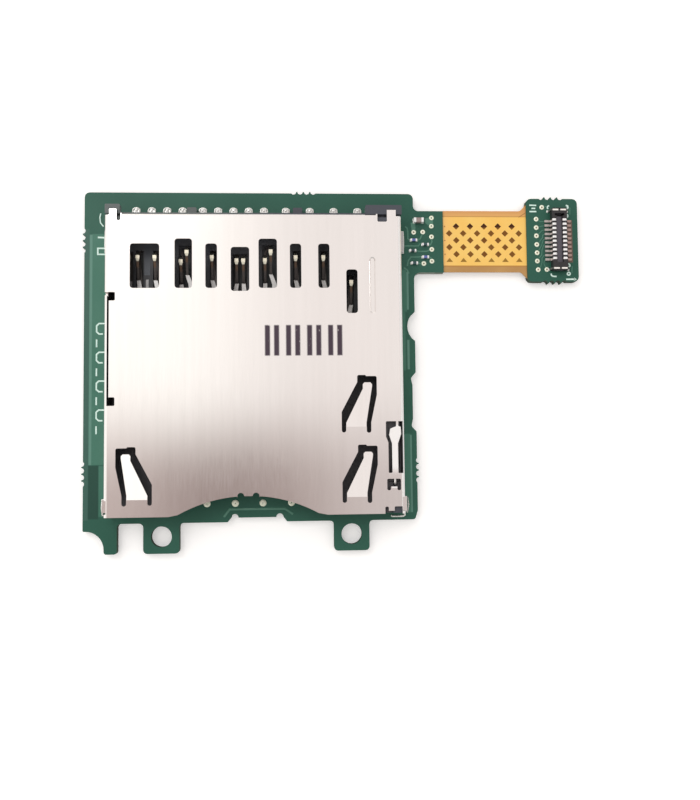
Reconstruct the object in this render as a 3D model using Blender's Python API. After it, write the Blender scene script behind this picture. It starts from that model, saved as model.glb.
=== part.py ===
"""A memory card reader board: a card socket on a rigid board, a flexible tail and a small plug board.

Sizes are in millimetres and become metres when a piece is placed. The pieces are laid out on a
bench frame: X runs right from the main board's left edge, Y runs to the rear from the board's rear
edge, so it is negative over the board, and Z runs up from the board's underside. A card goes into
the socket towards the rear, along +Y.
"""
import math

import bmesh
import bpy
from mathutils import Matrix, Vector
from mathutils.geometry import delaunay_2d_cdt

MM = 0.001
GAP = 0.03                    # clearance between pieces that touch on the real board

# Memory card and its slot. The standard card's width and contacts keep one proportion.
CONTACT_PITCH = 2.5
CARD_WIDTH = 9.6 * CONTACT_PITCH
FIRST_CONTACT = 2.05 * CONTACT_PITCH      # from the card's right edge to contact 1
LAST_CONTACT_STEP = 0.6 * CONTACT_PITCH   # from contact 7 to contact 8
TAIL_PITCH = 0.556 * CONTACT_PITCH        # between solder tails
WIDE_TAIL_PITCH = 0.876 * CONTACT_PITCH   # between those at the right
CARD_THICK = 2.1
CARD_SIDE_PLAY = 0.2
CARD_HEADROOM = 0.05

# Sheet-metal cover of the socket
SHEET = 0.2
COVER_LENGTH = 26.58
COVER_BEND = 0.3              # outer radius of the bent sides
COVER_REAR_TAB = 0.37         # how far the two rear tabs pass the rear edge
COVER_LIP = 0.45              # height of the lip bent down at the rear
RIB_HALF = 0.28               # embossed rib beside the rightmost window
RIB_DEPTH = 0.12

# Channel at the right for the push-push slider
DIVIDER = 0.25
CHANNEL = 1.25

# Main board: margins round the cover, neck for the tail, ears and tab in front
BOARD_THICK = 0.8
MARGIN_LEFT = 2.37
MARGIN_RIGHT = 1.46
MARGIN_REAR = 2.65
MARGIN_FRONT = 0.72
BOARD_CORNER = 0.45
NECK_OFFSET = 1.6             # from the rear edge to the neck
NECK_WIDTH = 5.75
NECK_LENGTH = 2.76
EAR_LENGTH = 2.69
EAR_WIDTH = 3.2
EAR_ROUND = 0.35
NECK_ROUND = 0.55             # inside corner at the neck's front edge
LEFT_EAR = 6.92               # from the left edge to the left ear's middle
RIGHT_EAR = 6.03              # from the right edge to the right ear's middle
EAR_HOLE_RADIUS = 0.925
EAR_HOLE_INSET = 1.49         # from the ear's end to the hole's middle
TAB_LEFT = 1.85
TAB_RIGHT = 3.0
TAB_ARC = 1.6                 # concave quarter circle beside the tab

# Torn break-off tabs: holes along the edge with teeth between them
BITE_COUNT = 4
BITE_PITCH = 0.6
BITE_RADIUS = 0.26
BITE_PROUD = 0.15
REAR_BITES = 18.9             # from the left edge
SIDE_BITES = 24.6             # from the rear edge, on both sides
LEFT_REAR_BITES = 3.55        # from the rear edge, on the left

# Right edge: a round notch, then a long shallow recess
NOTCH_MIDDLE = 12.35
NOTCH_HALF = 1.35
NOTCH_RADIUS = 1.65
RECESS_REAR = 16.6
RECESS_FRONT = 22.0
RECESS_DEPTH = 0.46           # at its two ends
RECESS_END = 0.5              # where an end is deepest
RECESS_RISE = 0.15            # how much shallower it is between them

# Front edge between the ears: a raised stretch with a small round notch at each end
STEP_HALF = 2.66
STEP_SHIFT = 0.48             # right of the board's middle
STEP_DEPTH = 0.4
STEP_SLOPE = 0.32
STEP_NOTCH = 0.33

# Flexible tail
FILM_THICK = 0.15
TAIL_LENGTH = 7.83            # between the two boards
FILM_INSERT = 0.8             # laminated into each board
FILM_FLARE = 0.55
FILM_SINK = 0.15              # film's top below the boards' top
FILM_SHIFT = 0.06             # film's edges behind the neck's
HATCH_PITCH = 1.307
HATCH_SIZE = 0.62             # a diamond, point to point
HATCH_DEPTH = 0.03
HATCH_FIRST = 0.6             # from the main board to the first column
HATCH_REAR = 1.45             # from the film's rear edge to the first row
HATCH_CUT = 0.07              # how far the last row goes on past its middle
HATCH_COLUMNS = 6
HATCH_ROWS = 6

# Plug board at the end of the tail
PLUG_BOARD_WIDTH = 4.85
PLUG_BOARD_LENGTH = 7.81
PLUG_BOARD_REAR = 0.39        # behind which the main board's rear edge lies
PLUG_BOARD_CORNER = 0.45
PLUG_REAR_BITES = 1.44        # from the plug board's left edge to the first hole, on the rear edge
PLUG_FRONT_BITES = 1.66       # and on the front edge

# Board-to-board connector
PLUG_ROWS = 10
PLUG_PITCH = 0.4
PLUG_X = 2.945                # from the plug board's left edge to the connector's middle
PLUG_SHIFT = -0.045           # connector's middle behind the board's middle
PLUG_HALF_WIDTH = 0.7
PLUG_END = 1.1                # from the last contact's middle to the connector's end
PLUG_HEIGHT = 0.75
PLUG_FLOOR = 0.37             # from the connector's underside to the floor of its trough
PLUG_POCKET = 0.17            # from the underside to the floor of the pocket behind the trough
TROUGH_HALF = 0.29
TROUGH_REACH = 0.39           # how far the trough passes the last contact's middle
POCKET_HALF = 0.45
POCKET_LENGTH = 0.2
PIN_WIDTH = 0.2
PIN_THICK = 0.1
PIN_FOOT = 1.25               # from the connector's middle to the end of a foot
PIN_OUTER = 0.617             # from the connector's middle to the leg outside the wall
PIN_INNER = 0.35              # and to the leg inside it
PIN_DEPTH = 0.33              # from the rim down to the end of the inner leg
NAIL_WIDTH = 0.15
NAIL_THICK = 0.15
NAIL_INSET = 0.165            # from the connector's end to the nail's middle
NAIL_NOTCH = 0.09             # half the width of the notch in the nail's middle
NAIL_REACH = 0.63             # from the nail's middle to its sloped shoulder
NAIL_SHOULDER = 0.12          # height of the shoulder

# Plastic body of the socket
FLOOR = 0.42
FLOOR_FRONT = 16.85           # from the cover's rear edge to the floor's front edge
APRON = 4.3                   # width of the two aprons in front of the floor
APRON_DROP = 0.15             # how far they lie below it
CARD_STOP = 0.95              # from the cover's rear edge to the wall that stops the card
BODY_REAR = 0.25              # how far the body's rear face passes the cover's rear edge
CORNER_BLOCK = 0.9            # how far the corner blocks pass the cover's rear edge
CORNER_LEFT = 1.25
CORNER_RIGHT = 3.15
CORNER_THICK = 0.9
DIVIDER_REAR = 9.35           # from the cover's rear edge to the divider's rear end

# Card contacts: spring arms that fold back over their own run
CONTACT_THICK = 0.12
CONTACT_WIDTH = 0.34
ROOT_FLARE = 1.24             # an arm's width at its root, as a share of the contact's
ARM_SLIM = 0.64               # the arm between its root and its tip
TIP_TAPER = 0.4
RUN_TAPER = 0.7
SWITCH_WIDTH = 0.22
CONTACT_TIP = 3.46            # from the cover's rear edge to a tip
CHAMFER_TIP = 2.26            # how far contact 9 lies further forward
TIP_RISE = 0.8                # tip above the socket's floor
LEFT_TIPS_SHIFT = 0.08        # how far contacts 7 and 8 lie left of their even places
ARM_LENGTH = 3.8
ARM_BEND = 2.1                # from the tip to the bend where the arm starts to rise
ARM_KNEE = 0.9                # from that bend to where the flat part starts to lean
FOLD_RADIUS = 0.18
GROOVE_PLAY = 0.08
TAIL_END = 1.17               # how far the solder tails pass the cover's rear edge

# Slider, cam pin and spring
SLIDER_PLAY = 0.05
SLIDER_REAR = 6.35            # from the cover's rear edge to the slider's rear end, card out
SLIDER_FRONT = 23.75          # from the cover's rear edge to the slider's front end, card out
SLIDER_TRAVEL = 4.0
SLIDER_DROP = 0.4             # slider's top below the cover
HOOK_REACH = 1.6
HOOK_DEPTH = 0.95
PIN_WIRE = 0.24
PIN_LENGTH = 4.8
PIN_FRONT = 24.05             # from the cover's rear edge to the pin's fixed end
PIN_SWING = 0.3               # sideways shift of the cam end over the full travel
TRACK_DEPTH = 0.45
TRACK_PLAY = 0.03
SPRING_RADIUS = 0.55
SPRING_WIRE = 0.16
SPRING_TURNS = 7

# Where things lie, worked out from the sizes above
COVER_WIDTH = 2 * SHEET + CARD_SIDE_PLAY + CARD_WIDTH + DIVIDER + CHANNEL
BOARD_WIDTH = MARGIN_LEFT + COVER_WIDTH + MARGIN_RIGHT
BOARD_LENGTH = MARGIN_REAR + COVER_LENGTH + MARGIN_FRONT
TOTAL_LENGTH = BOARD_LENGTH + EAR_LENGTH

COVER_LEFT = MARGIN_LEFT
COVER_RIGHT = COVER_LEFT + COVER_WIDTH
INNER_LEFT = COVER_LEFT + SHEET
INNER_RIGHT = COVER_RIGHT - SHEET
DIVIDER_LEFT = INNER_LEFT + CARD_SIDE_PLAY + CARD_WIDTH
CHANNEL_LEFT = DIVIDER_LEFT + DIVIDER
CHANNEL_X = CHANNEL_LEFT + CHANNEL / 2
CARD_RIGHT = DIVIDER_LEFT - CARD_SIDE_PLAY / 2

COVER_REAR_Y = -MARGIN_REAR
COVER_FRONT_Y = COVER_REAR_Y - COVER_LENGTH
BOARD_FRONT_Y = -BOARD_LENGTH

BODY_Z = BOARD_THICK + GAP
FLOOR_Z = BODY_Z + FLOOR
COVER_Z = FLOOR_Z + CARD_THICK + CARD_HEADROOM
TOP_Z = COVER_Z + SHEET

NECK_END = BOARD_WIDTH + NECK_LENGTH
NECK_REAR_Y = -NECK_OFFSET
NECK_FRONT_Y = NECK_REAR_Y - NECK_WIDTH
PLUG_BOARD_LEFT = NECK_END + TAIL_LENGTH
PLUG_BOARD_RIGHT = PLUG_BOARD_LEFT + PLUG_BOARD_WIDTH
PLUG_BOARD_REAR_Y = -PLUG_BOARD_REAR
PLUG_BOARD_FRONT_Y = PLUG_BOARD_REAR_Y - PLUG_BOARD_LENGTH
PLUG_Y = (PLUG_BOARD_REAR_Y + PLUG_BOARD_FRONT_Y) / 2 + PLUG_SHIFT
PLUG_MIDDLE = PLUG_BOARD_LEFT + PLUG_X
PLUG_HALF_LENGTH = (PLUG_ROWS - 1) * PLUG_PITCH / 2 + PLUG_END
PLUG_TOP = BOARD_THICK + GAP + PLUG_HEIGHT

ORIGIN = Vector(((PLUG_BOARD_RIGHT - BITE_PROUD) / 2, (BITE_PROUD - TOTAL_LENGTH) / 2, 0))

GREEN = ("green board", (0.05, 0.13, 0.08), 0.0, 0.35)
AMBER = ("amber film", (0.95, 0.55, 0.15), 0.0, 0.4)
NICKEL = ("nickel sheet", (0.75, 0.72, 0.69), 1.0, 0.35)
BLACK = ("black plastic", (0.02, 0.02, 0.022), 0.0, 0.5)
GOLD = ("gold plate", (0.85, 0.65, 0.3), 1.0, 0.3)
STEEL = ("spring steel", (0.6, 0.6, 0.6), 1.0, 0.3)
CERAMIC = ("ceramic", (0.3, 0.24, 0.2), 0.0, 0.5)


def material(kind):
    """Returns the named material, made on its first use."""
    name, colour, metallic, roughness = kind
    found = bpy.data.materials.get(name)
    if found:
        return found
    made = bpy.data.materials.new(name)
    made.use_nodes = True
    shader = made.node_tree.nodes["Principled BSDF"]
    shader.inputs["Base Color"].default_value = (*colour, 1)
    shader.inputs["Metallic"].default_value = metallic
    shader.inputs["Roughness"].default_value = roughness
    return made


def arc(x, y, radius, start, end, steps):
    """Points on a circle from one angle to another, in degrees, both ends included."""
    angles = [math.radians(start + (end - start) * i / steps) for i in range(steps + 1)]
    return [(x + radius * math.cos(a), y + radius * math.sin(a)) for a in angles]


def rounded(corners, steps=3):
    """An outline from corners (x, y) or (x, y, radius), with each given radius as an arc."""
    points = []
    for i, corner in enumerate(corners):
        here = Vector(corner[:2])
        radius = corner[2] if len(corner) > 2 else 0
        before = Vector(corners[i - 1][:2]) - here
        after = Vector(corners[(i + 1) % len(corners)][:2]) - here
        if radius == 0:
            points.append(tuple(here))
            continue
        half = before.angle(after) / 2
        reach = min(radius / math.tan(half), before.length / 2, after.length / 2)
        radius = reach * math.tan(half)
        start = here + before.normalized() * reach
        end = here + after.normalized() * reach
        middle = here + (before.normalized() + after.normalized()).normalized() * radius / math.sin(half)
        for step in range(steps + 1):
            heading = (start - middle).slerp(end - middle, step / steps)
            points.append(tuple(middle + radius * heading))
    return points


def box(x0, y0, x1, y1, radius=0):
    """A rectangle's outline."""
    return rounded([(x0, y0, radius), (x1, y0, radius), (x1, y1, radius), (x0, y1, radius)])


def distinct(outline):
    """An outline without points that repeat the one before."""
    return [point for i, point in enumerate(outline) if math.dist(point, outline[i - 1]) > MM / 2]


def inside(point, outline):
    """Whether a point lies in an outline."""
    found = False
    for (x0, y0), (x1, y1) in zip(outline, outline[1:] + outline[:1]):
        if (y0 > point[1]) != (y1 > point[1]):
            if point[0] < x0 + (point[1] - y0) * (x1 - x0) / (y1 - y0):
                found = not found
    return found


def prism(mesh, outline, low, high, axis="Z", holes=()):
    """Adds an outline, less its holes, extruded from low to high along an axis."""
    loops = [distinct(loop) for loop in (outline, *holes)]
    flat = [Vector(point) for loop in loops for point in loop]
    edges = []
    for loop in loops:
        first = len(edges)
        edges += [(first + i, first + (i + 1) % len(loop)) for i in range(len(loop))]
    _, _, faces, sources, _, _ = delaunay_2d_cdt(flat, edges, [], 1, 1e-6)
    turn = {"X": lambda u, v, w: (w, u, v), "Y": lambda u, v, w: (u, w, v), "Z": lambda u, v, w: (u, v, w)}
    rings = [[mesh.verts.new(turn[axis](*point, level)) for point in flat] for level in (low, high)]
    made = []
    for face in faces:
        corners = [sources[i][0] for i in face]
        centre = sum((flat[i] for i in corners), Vector((0, 0))) / len(corners)
        if inside(centre, loops[0]) and not any(inside(centre, hole) for hole in loops[1:]):
            made += [mesh.faces.new([ring[i] for i in corners]) for ring in rings]
    for a, b in edges:
        made.append(mesh.faces.new((rings[0][a], rings[0][b], rings[1][b], rings[1][a])))
    bmesh.ops.recalc_face_normals(mesh, faces=made)


def piece(name, fill):
    """Makes an object and has the given function fill its mesh."""
    build = bmesh.new()
    fill(build)
    bmesh.ops.recalc_face_normals(build, faces=build.faces)
    data = bpy.data.meshes.new(name)
    build.to_mesh(data)
    build.free()
    made = bpy.data.objects.new(name, data)
    bpy.context.scene.collection.objects.link(made)
    return made


def block(name, outline, low, high, axis="Z", holes=()):
    """An object that is one prism."""
    return piece(name, lambda mesh: prism(mesh, outline, low, high, axis, holes))


def blocks(name, outlines, low, high, axis="Z"):
    """One object of prisms that lie clear of each other."""
    def fill(mesh):
        for outline in outlines:
            prism(mesh, outline, low, high, axis)
    return piece(name, fill)


def combine(base, tool, operation):
    """Joins or cuts with an exact Boolean, keeps the result and removes the tool."""
    boolean = base.modifiers.new("shape", "BOOLEAN")
    boolean.operation = operation
    boolean.solver = "EXACT"
    boolean.object = tool
    bpy.context.view_layer.update()
    graph = bpy.context.evaluated_depsgraph_get()
    result = bpy.data.meshes.new_from_object(base.evaluated_get(graph))
    base.modifiers.clear()
    spare = base.data
    base.data = result
    bpy.data.meshes.remove(spare)
    bpy.data.objects.remove(tool)


def cut(base, tool):
    """Takes a tool's volume out of a piece."""
    combine(base, tool, "DIFFERENCE")


def join(base, tool):
    """Adds a tool's volume to a piece."""
    combine(base, tool, "UNION")


def strip(mesh, path, width, thick, along="Y"):
    """Adds a bent strip of metal. A path point is (across, along, height), and a width if it has its own."""
    rings = []
    for i, (across, run, height, *own) in enumerate(path):
        here = Vector((run, height))
        half = (own[0] if own else width) / 2
        back = (here - Vector(path[i - 1][1:3])).normalized() if i else None
        ahead = (Vector(path[i + 1][1:3]) - here).normalized() if i + 1 < len(path) else back
        back = back or ahead
        middle = (back + ahead).normalized()
        normal = Vector((-middle.y, middle.x)) * thick / 2 / max(middle.dot(ahead), 0.5)
        ring = []
        for side, face in ((-1, -1), (1, -1), (1, 1), (-1, 1)):
            spot = here + normal * face
            place = (across + side * half, spot.x, spot.y)
            ring.append(mesh.verts.new(place if along == "Y" else (place[1], place[0], place[2])))
        rings.append(ring)
    skin(mesh, rings)


def tube(mesh, path, radius, sides):
    """Adds a round wire along a path of points."""
    rings = []
    points = [Vector(point) for point in path]
    side = None
    for i, point in enumerate(points):
        back = (point - points[i - 1]).normalized() if i else None
        ahead = (points[i + 1] - point).normalized() if i + 1 < len(points) else back
        back = back or ahead
        heading = (back + ahead).normalized()
        side = side or heading.orthogonal()
        side = (side - heading * side.dot(heading)).normalized()
        up = heading.cross(side)
        turns = [2 * math.pi * k / sides for k in range(sides)]
        rings.append([mesh.verts.new(point + radius * (side * math.cos(t) + up * math.sin(t))) for t in turns])
    skin(mesh, rings)


def skin(mesh, rings):
    """Closes a row of rings into one solid."""
    mesh.faces.new(rings[0])
    mesh.faces.new(rings[-1])
    for first, second in zip(rings, rings[1:]):
        for i in range(len(first)):
            j = (i + 1) % len(first)
            mesh.faces.new((first[i], first[j], second[j], second[i]))


def finish(made, kind, pivot=(0, 0, 0)):
    """Places a piece in metres about the part's origin, with its own origin at the pivot."""
    pivot = Vector(pivot) or ORIGIN
    made.data.transform(Matrix.Scale(MM, 4) @ Matrix.Translation(-pivot))
    made.location = (pivot - ORIGIN) * MM
    made.data.materials.clear()
    made.data.materials.append(material(kind))
    made.data.shade_smooth()
    made.data.set_sharp_from_angle(angle=math.radians(35))
    return made


def bites(start, along, outward):
    """Edge points of a torn break-off tab: shallow half holes with teeth that stand proud between them."""
    along = Vector(along)
    outward = Vector(outward)
    edge = math.degrees(math.asin(BITE_PROUD / BITE_RADIUS))
    points = []
    for i in range(BITE_COUNT):
        middle = Vector(start) + along * BITE_PITCH * i + outward * BITE_PROUD
        first = 0 if i else edge
        last = 180 if i + 1 < BITE_COUNT else 180 - edge
        for step in range(5):
            turn = math.radians(first + (last - first) * step / 4)
            points.append(middle - BITE_RADIUS * (along * math.cos(turn) + outward * math.sin(turn)))
    return [(point.x, point.y) for point in points]


def main_board():
    """The rigid board, clockwise from its rear left corner, with two drilled ears."""
    front = BOARD_FRONT_Y
    tip = front - EAR_LENGTH
    right = BOARD_WIDTH
    bite_span = (BITE_COUNT - 1) * BITE_PITCH
    sweep = math.degrees(math.asin(NOTCH_HALF / NOTCH_RADIUS))
    notch_x = right + NOTCH_RADIUS * math.cos(math.radians(sweep))
    recess_x = right - RECESS_DEPTH + RECESS_RISE
    right_ear = right - RIGHT_EAR
    half = EAR_WIDTH / 2
    step_y = front + STEP_DEPTH
    step_right = right / 2 + STEP_SHIFT + STEP_HALF
    step_left = right / 2 + STEP_SHIFT - STEP_HALF
    step_end = step_right - STEP_SLOPE
    step_start = step_left + STEP_SLOPE
    corners = [
        (0, 0, BOARD_CORNER),
        *bites((REAR_BITES, 0), (1, 0), (0, 1)),
        (right, 0, BOARD_CORNER),
        (right, NECK_REAR_Y, BOARD_CORNER),
        (NECK_END, NECK_REAR_Y),
        (NECK_END, NECK_FRONT_Y),
        (right, NECK_FRONT_Y, NECK_ROUND),
        *arc(notch_x, -NOTCH_MIDDLE, NOTCH_RADIUS, 180 - sweep, 180 + sweep, 8),
        (right, -RECESS_REAR, 0.15),
        (right - RECESS_DEPTH, -RECESS_REAR - RECESS_END, 0.3),
        (recess_x, -RECESS_REAR - 2.3 * RECESS_END, 0.2),
        (recess_x, -RECESS_FRONT + 2.3 * RECESS_END, 0.2),
        (right - RECESS_DEPTH, -RECESS_FRONT + RECESS_END, 0.3),
        (right, -RECESS_FRONT, 0.15),
        *bites((right, -SIDE_BITES), (0, -1), (1, 0)),
        (right, front + 0.85, 0.3),
        (right - 0.25, front, 0.25),
        (right_ear + half, front, EAR_ROUND),
        (right_ear + half, tip, EAR_ROUND),
        (right_ear - half, tip, EAR_ROUND),
        (right_ear - half, front, EAR_ROUND),
        (step_right, front),
        *arc(step_end - STEP_NOTCH, step_y, STEP_NOTCH, 0, 180, 6),
        *arc(step_start + STEP_NOTCH, step_y, STEP_NOTCH, 0, 180, 6),
        (step_left, front),
        (LEFT_EAR + half, front, EAR_ROUND),
        (LEFT_EAR + half, tip, EAR_ROUND),
        (LEFT_EAR - half, tip, EAR_ROUND),
        (LEFT_EAR - half, front, EAR_ROUND),
        (TAB_RIGHT, front, EAR_ROUND),
        (TAB_RIGHT, tip, 0.25),
        (TAB_LEFT, tip, 0.25),
        *arc(TAB_LEFT - TAB_ARC, tip + 0.44, TAB_ARC, 0, 90, 8),
        (0, tip + 0.44 + TAB_ARC, 0.1),
        *bites((0, -SIDE_BITES - bite_span), (0, 1), (-1, 0)),
        *bites((0, -LEFT_REAR_BITES - bite_span), (0, 1), (-1, 0)),
    ]
    hole_y = tip + EAR_HOLE_INSET
    holes = [arc(x, hole_y, EAR_HOLE_RADIUS, 0, 345, 23) for x in (LEFT_EAR, right_ear)]
    made = block("main_board", rounded(corners), 0, BOARD_THICK, holes=holes)
    cut(made, film_pocket(NECK_END - FILM_INSERT - GAP, NECK_END + 1, NECK_FRONT_Y - 1, NECK_REAR_Y + 1))
    return finish(made, GREEN)


def film_levels():
    """Heights of the film's two faces: it runs into the boards a little below their top."""
    return BOARD_THICK - FILM_SINK - FILM_THICK, BOARD_THICK - FILM_SINK


def film_pocket(x0, x1, y0, y1):
    """The slot in a board that the film is laminated into."""
    low, high = film_levels()
    return block("pocket", box(x0, y0, x1, y1), low - GAP, high + GAP)


def flex_tail():
    """The flexible film, flared at the plug board, with the hatched copper's openings sunk in."""
    low, high = film_levels()
    rear = NECK_REAR_Y + FILM_SHIFT
    front = NECK_FRONT_Y + FILM_SHIFT
    wide_rear = rear + FILM_FLARE
    wide_front = front - FILM_FLARE
    corners = [
        (NECK_END - FILM_INSERT, NECK_REAR_Y),
        (NECK_END + GAP, NECK_REAR_Y),
        (NECK_END + GAP, rear),
        (PLUG_BOARD_LEFT - FILM_FLARE, rear, 0.4),
        (PLUG_BOARD_LEFT - 0.05, wide_rear, 0.15),
        (PLUG_BOARD_LEFT + FILM_INSERT, wide_rear),
        (PLUG_BOARD_LEFT + FILM_INSERT, wide_front),
        (PLUG_BOARD_LEFT - 0.05, wide_front, 0.15),
        (PLUG_BOARD_LEFT - FILM_FLARE, front, 0.4),
        (NECK_END - FILM_INSERT, front),
    ]
    made = block("flex_tail", rounded(corners), low, high)
    half = HATCH_SIZE / 2
    openings = []
    for row in range(HATCH_ROWS):
        y = rear - HATCH_REAR - row * HATCH_PITCH / 2
        odd = row % 2 == 0
        for column in range(HATCH_COLUMNS - odd):
            x = NECK_END + HATCH_FIRST + (column + odd / 2) * HATCH_PITCH
            if row + 1 < HATCH_ROWS:
                openings.append([(x - half, y), (x, y + half), (x + half, y), (x, y - half)])
            else:
                openings.append([(x - half, y - HATCH_CUT), (x, y + half), (x + half, y - HATCH_CUT)])
    cut(made, blocks("openings", openings, high - HATCH_DEPTH, high + 1))
    return finish(made, AMBER)


def connector_board():
    """The small rigid board at the end of the film."""
    left = PLUG_BOARD_LEFT
    right = PLUG_BOARD_RIGHT
    rear = PLUG_BOARD_REAR_Y
    front = PLUG_BOARD_FRONT_Y
    bite_span = (BITE_COUNT - 1) * BITE_PITCH
    corners = [
        (left, rear, PLUG_BOARD_CORNER),
        *bites((left + PLUG_REAR_BITES, rear), (1, 0), (0, 1)),
        (right, rear, PLUG_BOARD_CORNER),
        (right, front, PLUG_BOARD_CORNER),
        *bites((left + PLUG_FRONT_BITES + bite_span, front), (-1, 0), (0, -1)),
        (left, front, PLUG_BOARD_CORNER),
    ]
    made = block("connector_board", rounded(corners), 0, BOARD_THICK)
    rear_y = NECK_REAR_Y + FILM_SHIFT + FILM_FLARE + GAP
    front_y = NECK_FRONT_Y + FILM_SHIFT - FILM_FLARE - GAP
    cut(made, film_pocket(left - 1, left + FILM_INSERT + GAP, front_y, rear_y))
    return finish(made, GREEN)


def plug_rows():
    """Heights along Y of the connector's ten rows, from the rear."""
    return [PLUG_Y + ((PLUG_ROWS - 1) / 2 - i) * PLUG_PITCH for i in range(PLUG_ROWS)]


def plug_housing():
    """The connector's body: a block with a trough between two walls, which the contacts wrap round."""
    base = BOARD_THICK + GAP
    middle = PLUG_MIDDLE
    end = PLUG_HALF_LENGTH
    outline = box(middle - PLUG_HALF_WIDTH, PLUG_Y - end, middle + PLUG_HALF_WIDTH, PLUG_Y + end, 0.1)
    made = block("plug_housing", outline, base, PLUG_TOP)
    reach = (PLUG_ROWS - 1) * PLUG_PITCH / 2 + TROUGH_REACH
    cut(made, block("trough", box(middle - TROUGH_HALF, PLUG_Y - reach, middle + TROUGH_HALF, PLUG_Y + reach),
                    base + PLUG_FLOOR, PLUG_TOP + 1))
    cut(made, block("pocket", box(middle - POCKET_HALF, PLUG_Y + reach - 0.02, middle + POCKET_HALF,
                                  PLUG_Y + reach + POCKET_LENGTH), base + PLUG_POCKET, PLUG_TOP + 1))
    half = PIN_THICK / 2
    wall_outer = PIN_OUTER - half - 0.015
    wall_inner = PIN_INNER + half + 0.015
    wall_top = PLUG_TOP - PIN_THICK - GAP
    slot = [
        (1, base - 0.5), (1, PLUG_TOP + 0.5), (TROUGH_HALF - 0.07, PLUG_TOP + 0.5),
        (TROUGH_HALF - 0.07, PLUG_TOP - PIN_DEPTH - GAP), (wall_inner, PLUG_TOP - PIN_DEPTH - GAP),
        (wall_inner, wall_top), (wall_outer, wall_top), (wall_outer, base - 0.5),
    ]
    for side in (-1, 1):
        placed = [(middle + side * x, z) for x, z in slot]
        width = PIN_WIDTH / 2 + 0.02

        def fill(mesh):
            for y in plug_rows():
                prism(mesh, placed, y - width, y + width, "Y")
        cut(made, piece("slots", fill))
    recess = []
    for side in (-1, 1):
        y = PLUG_Y + side * (end - NAIL_INSET)
        recess.append(box(middle - 2, y - NAIL_WIDTH / 2 - GAP, middle + 2, y + NAIL_WIDTH / 2 + GAP))
    cut(made, blocks("recess", recess, PLUG_TOP - NAIL_THICK - 2 * GAP, PLUG_TOP + 1))
    return finish(made, BLACK)


def plug_contact(number, side, y):
    """One contact: a foot on the board, then up the wall's outside, over its rim and down its inside."""
    foot = BOARD_THICK + GAP + PIN_THICK / 2
    rim = PLUG_TOP - PIN_THICK / 2
    bend = 0.04
    profile = [
        (PIN_FOOT, foot),
        (PIN_OUTER + bend, foot),
        (PIN_OUTER, foot + bend),
        (PIN_OUTER, rim - bend),
        (PIN_OUTER - bend, rim),
        (PIN_INNER + bend, rim),
        (PIN_INNER, rim - bend),
        (PIN_INNER, PLUG_TOP - PIN_DEPTH),
    ]
    path = [(y, PLUG_MIDDLE + side * x, z) for x, z in profile]
    made = piece(f"plug_contact_{number:02d}", lambda mesh: strip(mesh, path, PIN_WIDTH, PIN_THICK, along="X"))
    return finish(made, GOLD)


def plug_nail(name, side):
    """A hold-down nail: a notched bar across the end of the connector, with a leg at each side."""
    y = PLUG_Y + side * (PLUG_HALF_LENGTH - NAIL_INSET)
    leg = PLUG_HALF_WIDTH + GAP
    outer = leg + PIN_THICK
    top = PLUG_TOP - GAP / 2
    under = top - NAIL_THICK
    notch = top - NAIL_THICK * 0.7
    shoulder = top - NAIL_SHOULDER
    base = BOARD_THICK + GAP
    outline = [
        (-outer, base), (-leg, base), (-leg, under), (leg, under), (leg, base), (outer, base),
        (outer, shoulder), (NAIL_REACH, top), (NAIL_NOTCH, top), (NAIL_NOTCH, notch),
        (-NAIL_NOTCH, notch), (-NAIL_NOTCH, top), (-NAIL_REACH, top), (-outer, shoulder),
    ]
    placed = [(PLUG_MIDDLE + x, z) for x, z in outline]
    made = block(name, placed, y - NAIL_WIDTH / 2, y + NAIL_WIDTH / 2, axis="Y")
    return finish(made, NICKEL)


def chip(name, x, y, length, width, height, kind):
    """A two-ended surface part: a body between end caps that stand a little higher."""
    base = BOARD_THICK + GAP
    cap = length * 0.24
    lower = height * 0.93
    outline = [
        (0, 0), (length, 0), (length, height), (length - cap, height), (length - cap, lower),
        (cap, lower), (cap, height), (0, height),
    ]
    placed = [(x - length / 2 + u, base + v) for u, v in outline]
    return finish(block(name, placed, y - width / 2, y + width / 2, axis="Y"), kind)


def contact_sites():
    """Each contact's name, arms as (tip x, tip y, root x), width and tail x, from left to right."""
    tip_y = COVER_REAR_Y - CONTACT_TIP
    one = CARD_RIGHT - FIRST_CONTACT
    seven = one - 6 * CONTACT_PITCH
    eight = seven - LAST_CONTACT_STEP
    switches = [
        ("protect_contact_a", INNER_LEFT + 0.45, tip_y - 6.4),
        ("protect_contact_b", INNER_LEFT + 0.85, tip_y - 6.0),
        ("detect_contact_a", INNER_LEFT + 1.3, tip_y + 0.5),
        ("detect_contact_b", INNER_LEFT + 1.7, tip_y - 0.1),
    ]
    sites = [(name, [(x, y, x)], SWITCH_WIDTH) for name, x, y in switches]
    eight -= LEFT_TIPS_SHIFT
    sites.append(("card_contact_8", [(eight, tip_y, eight + 0.15)], CONTACT_WIDTH))
    for number in (7, 6, 5, 4, 3, 2, 1):
        x = one - (number - 1) * CONTACT_PITCH
        if number == 7:
            x -= LEFT_TIPS_SHIFT
        if number in (3, 6):
            shorter, further = (0.27, 0.53) if number == 3 else (0.37, 0.47)
            arms = [(x - 0.26, tip_y - shorter, x - 0.28), (x + 0.26, tip_y + further, x + 0.58)]
        elif number == 4:
            arms = [(x - 0.3, tip_y - 0.3, x - 0.48), (x + 0.3, tip_y - 0.3, x + 0.36)]
        else:
            arms = [(x, tip_y, x + 0.22)]
        sites.append((f"card_contact_{number}", arms, CONTACT_WIDTH))
    nine = one + CONTACT_PITCH
    sites.append(("card_contact_9", [(nine, tip_y - CHAMFER_TIP, nine - 0.2)], CONTACT_WIDTH))
    return [(*site, tail) for site, tail in zip(sites, tail_places())]


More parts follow.
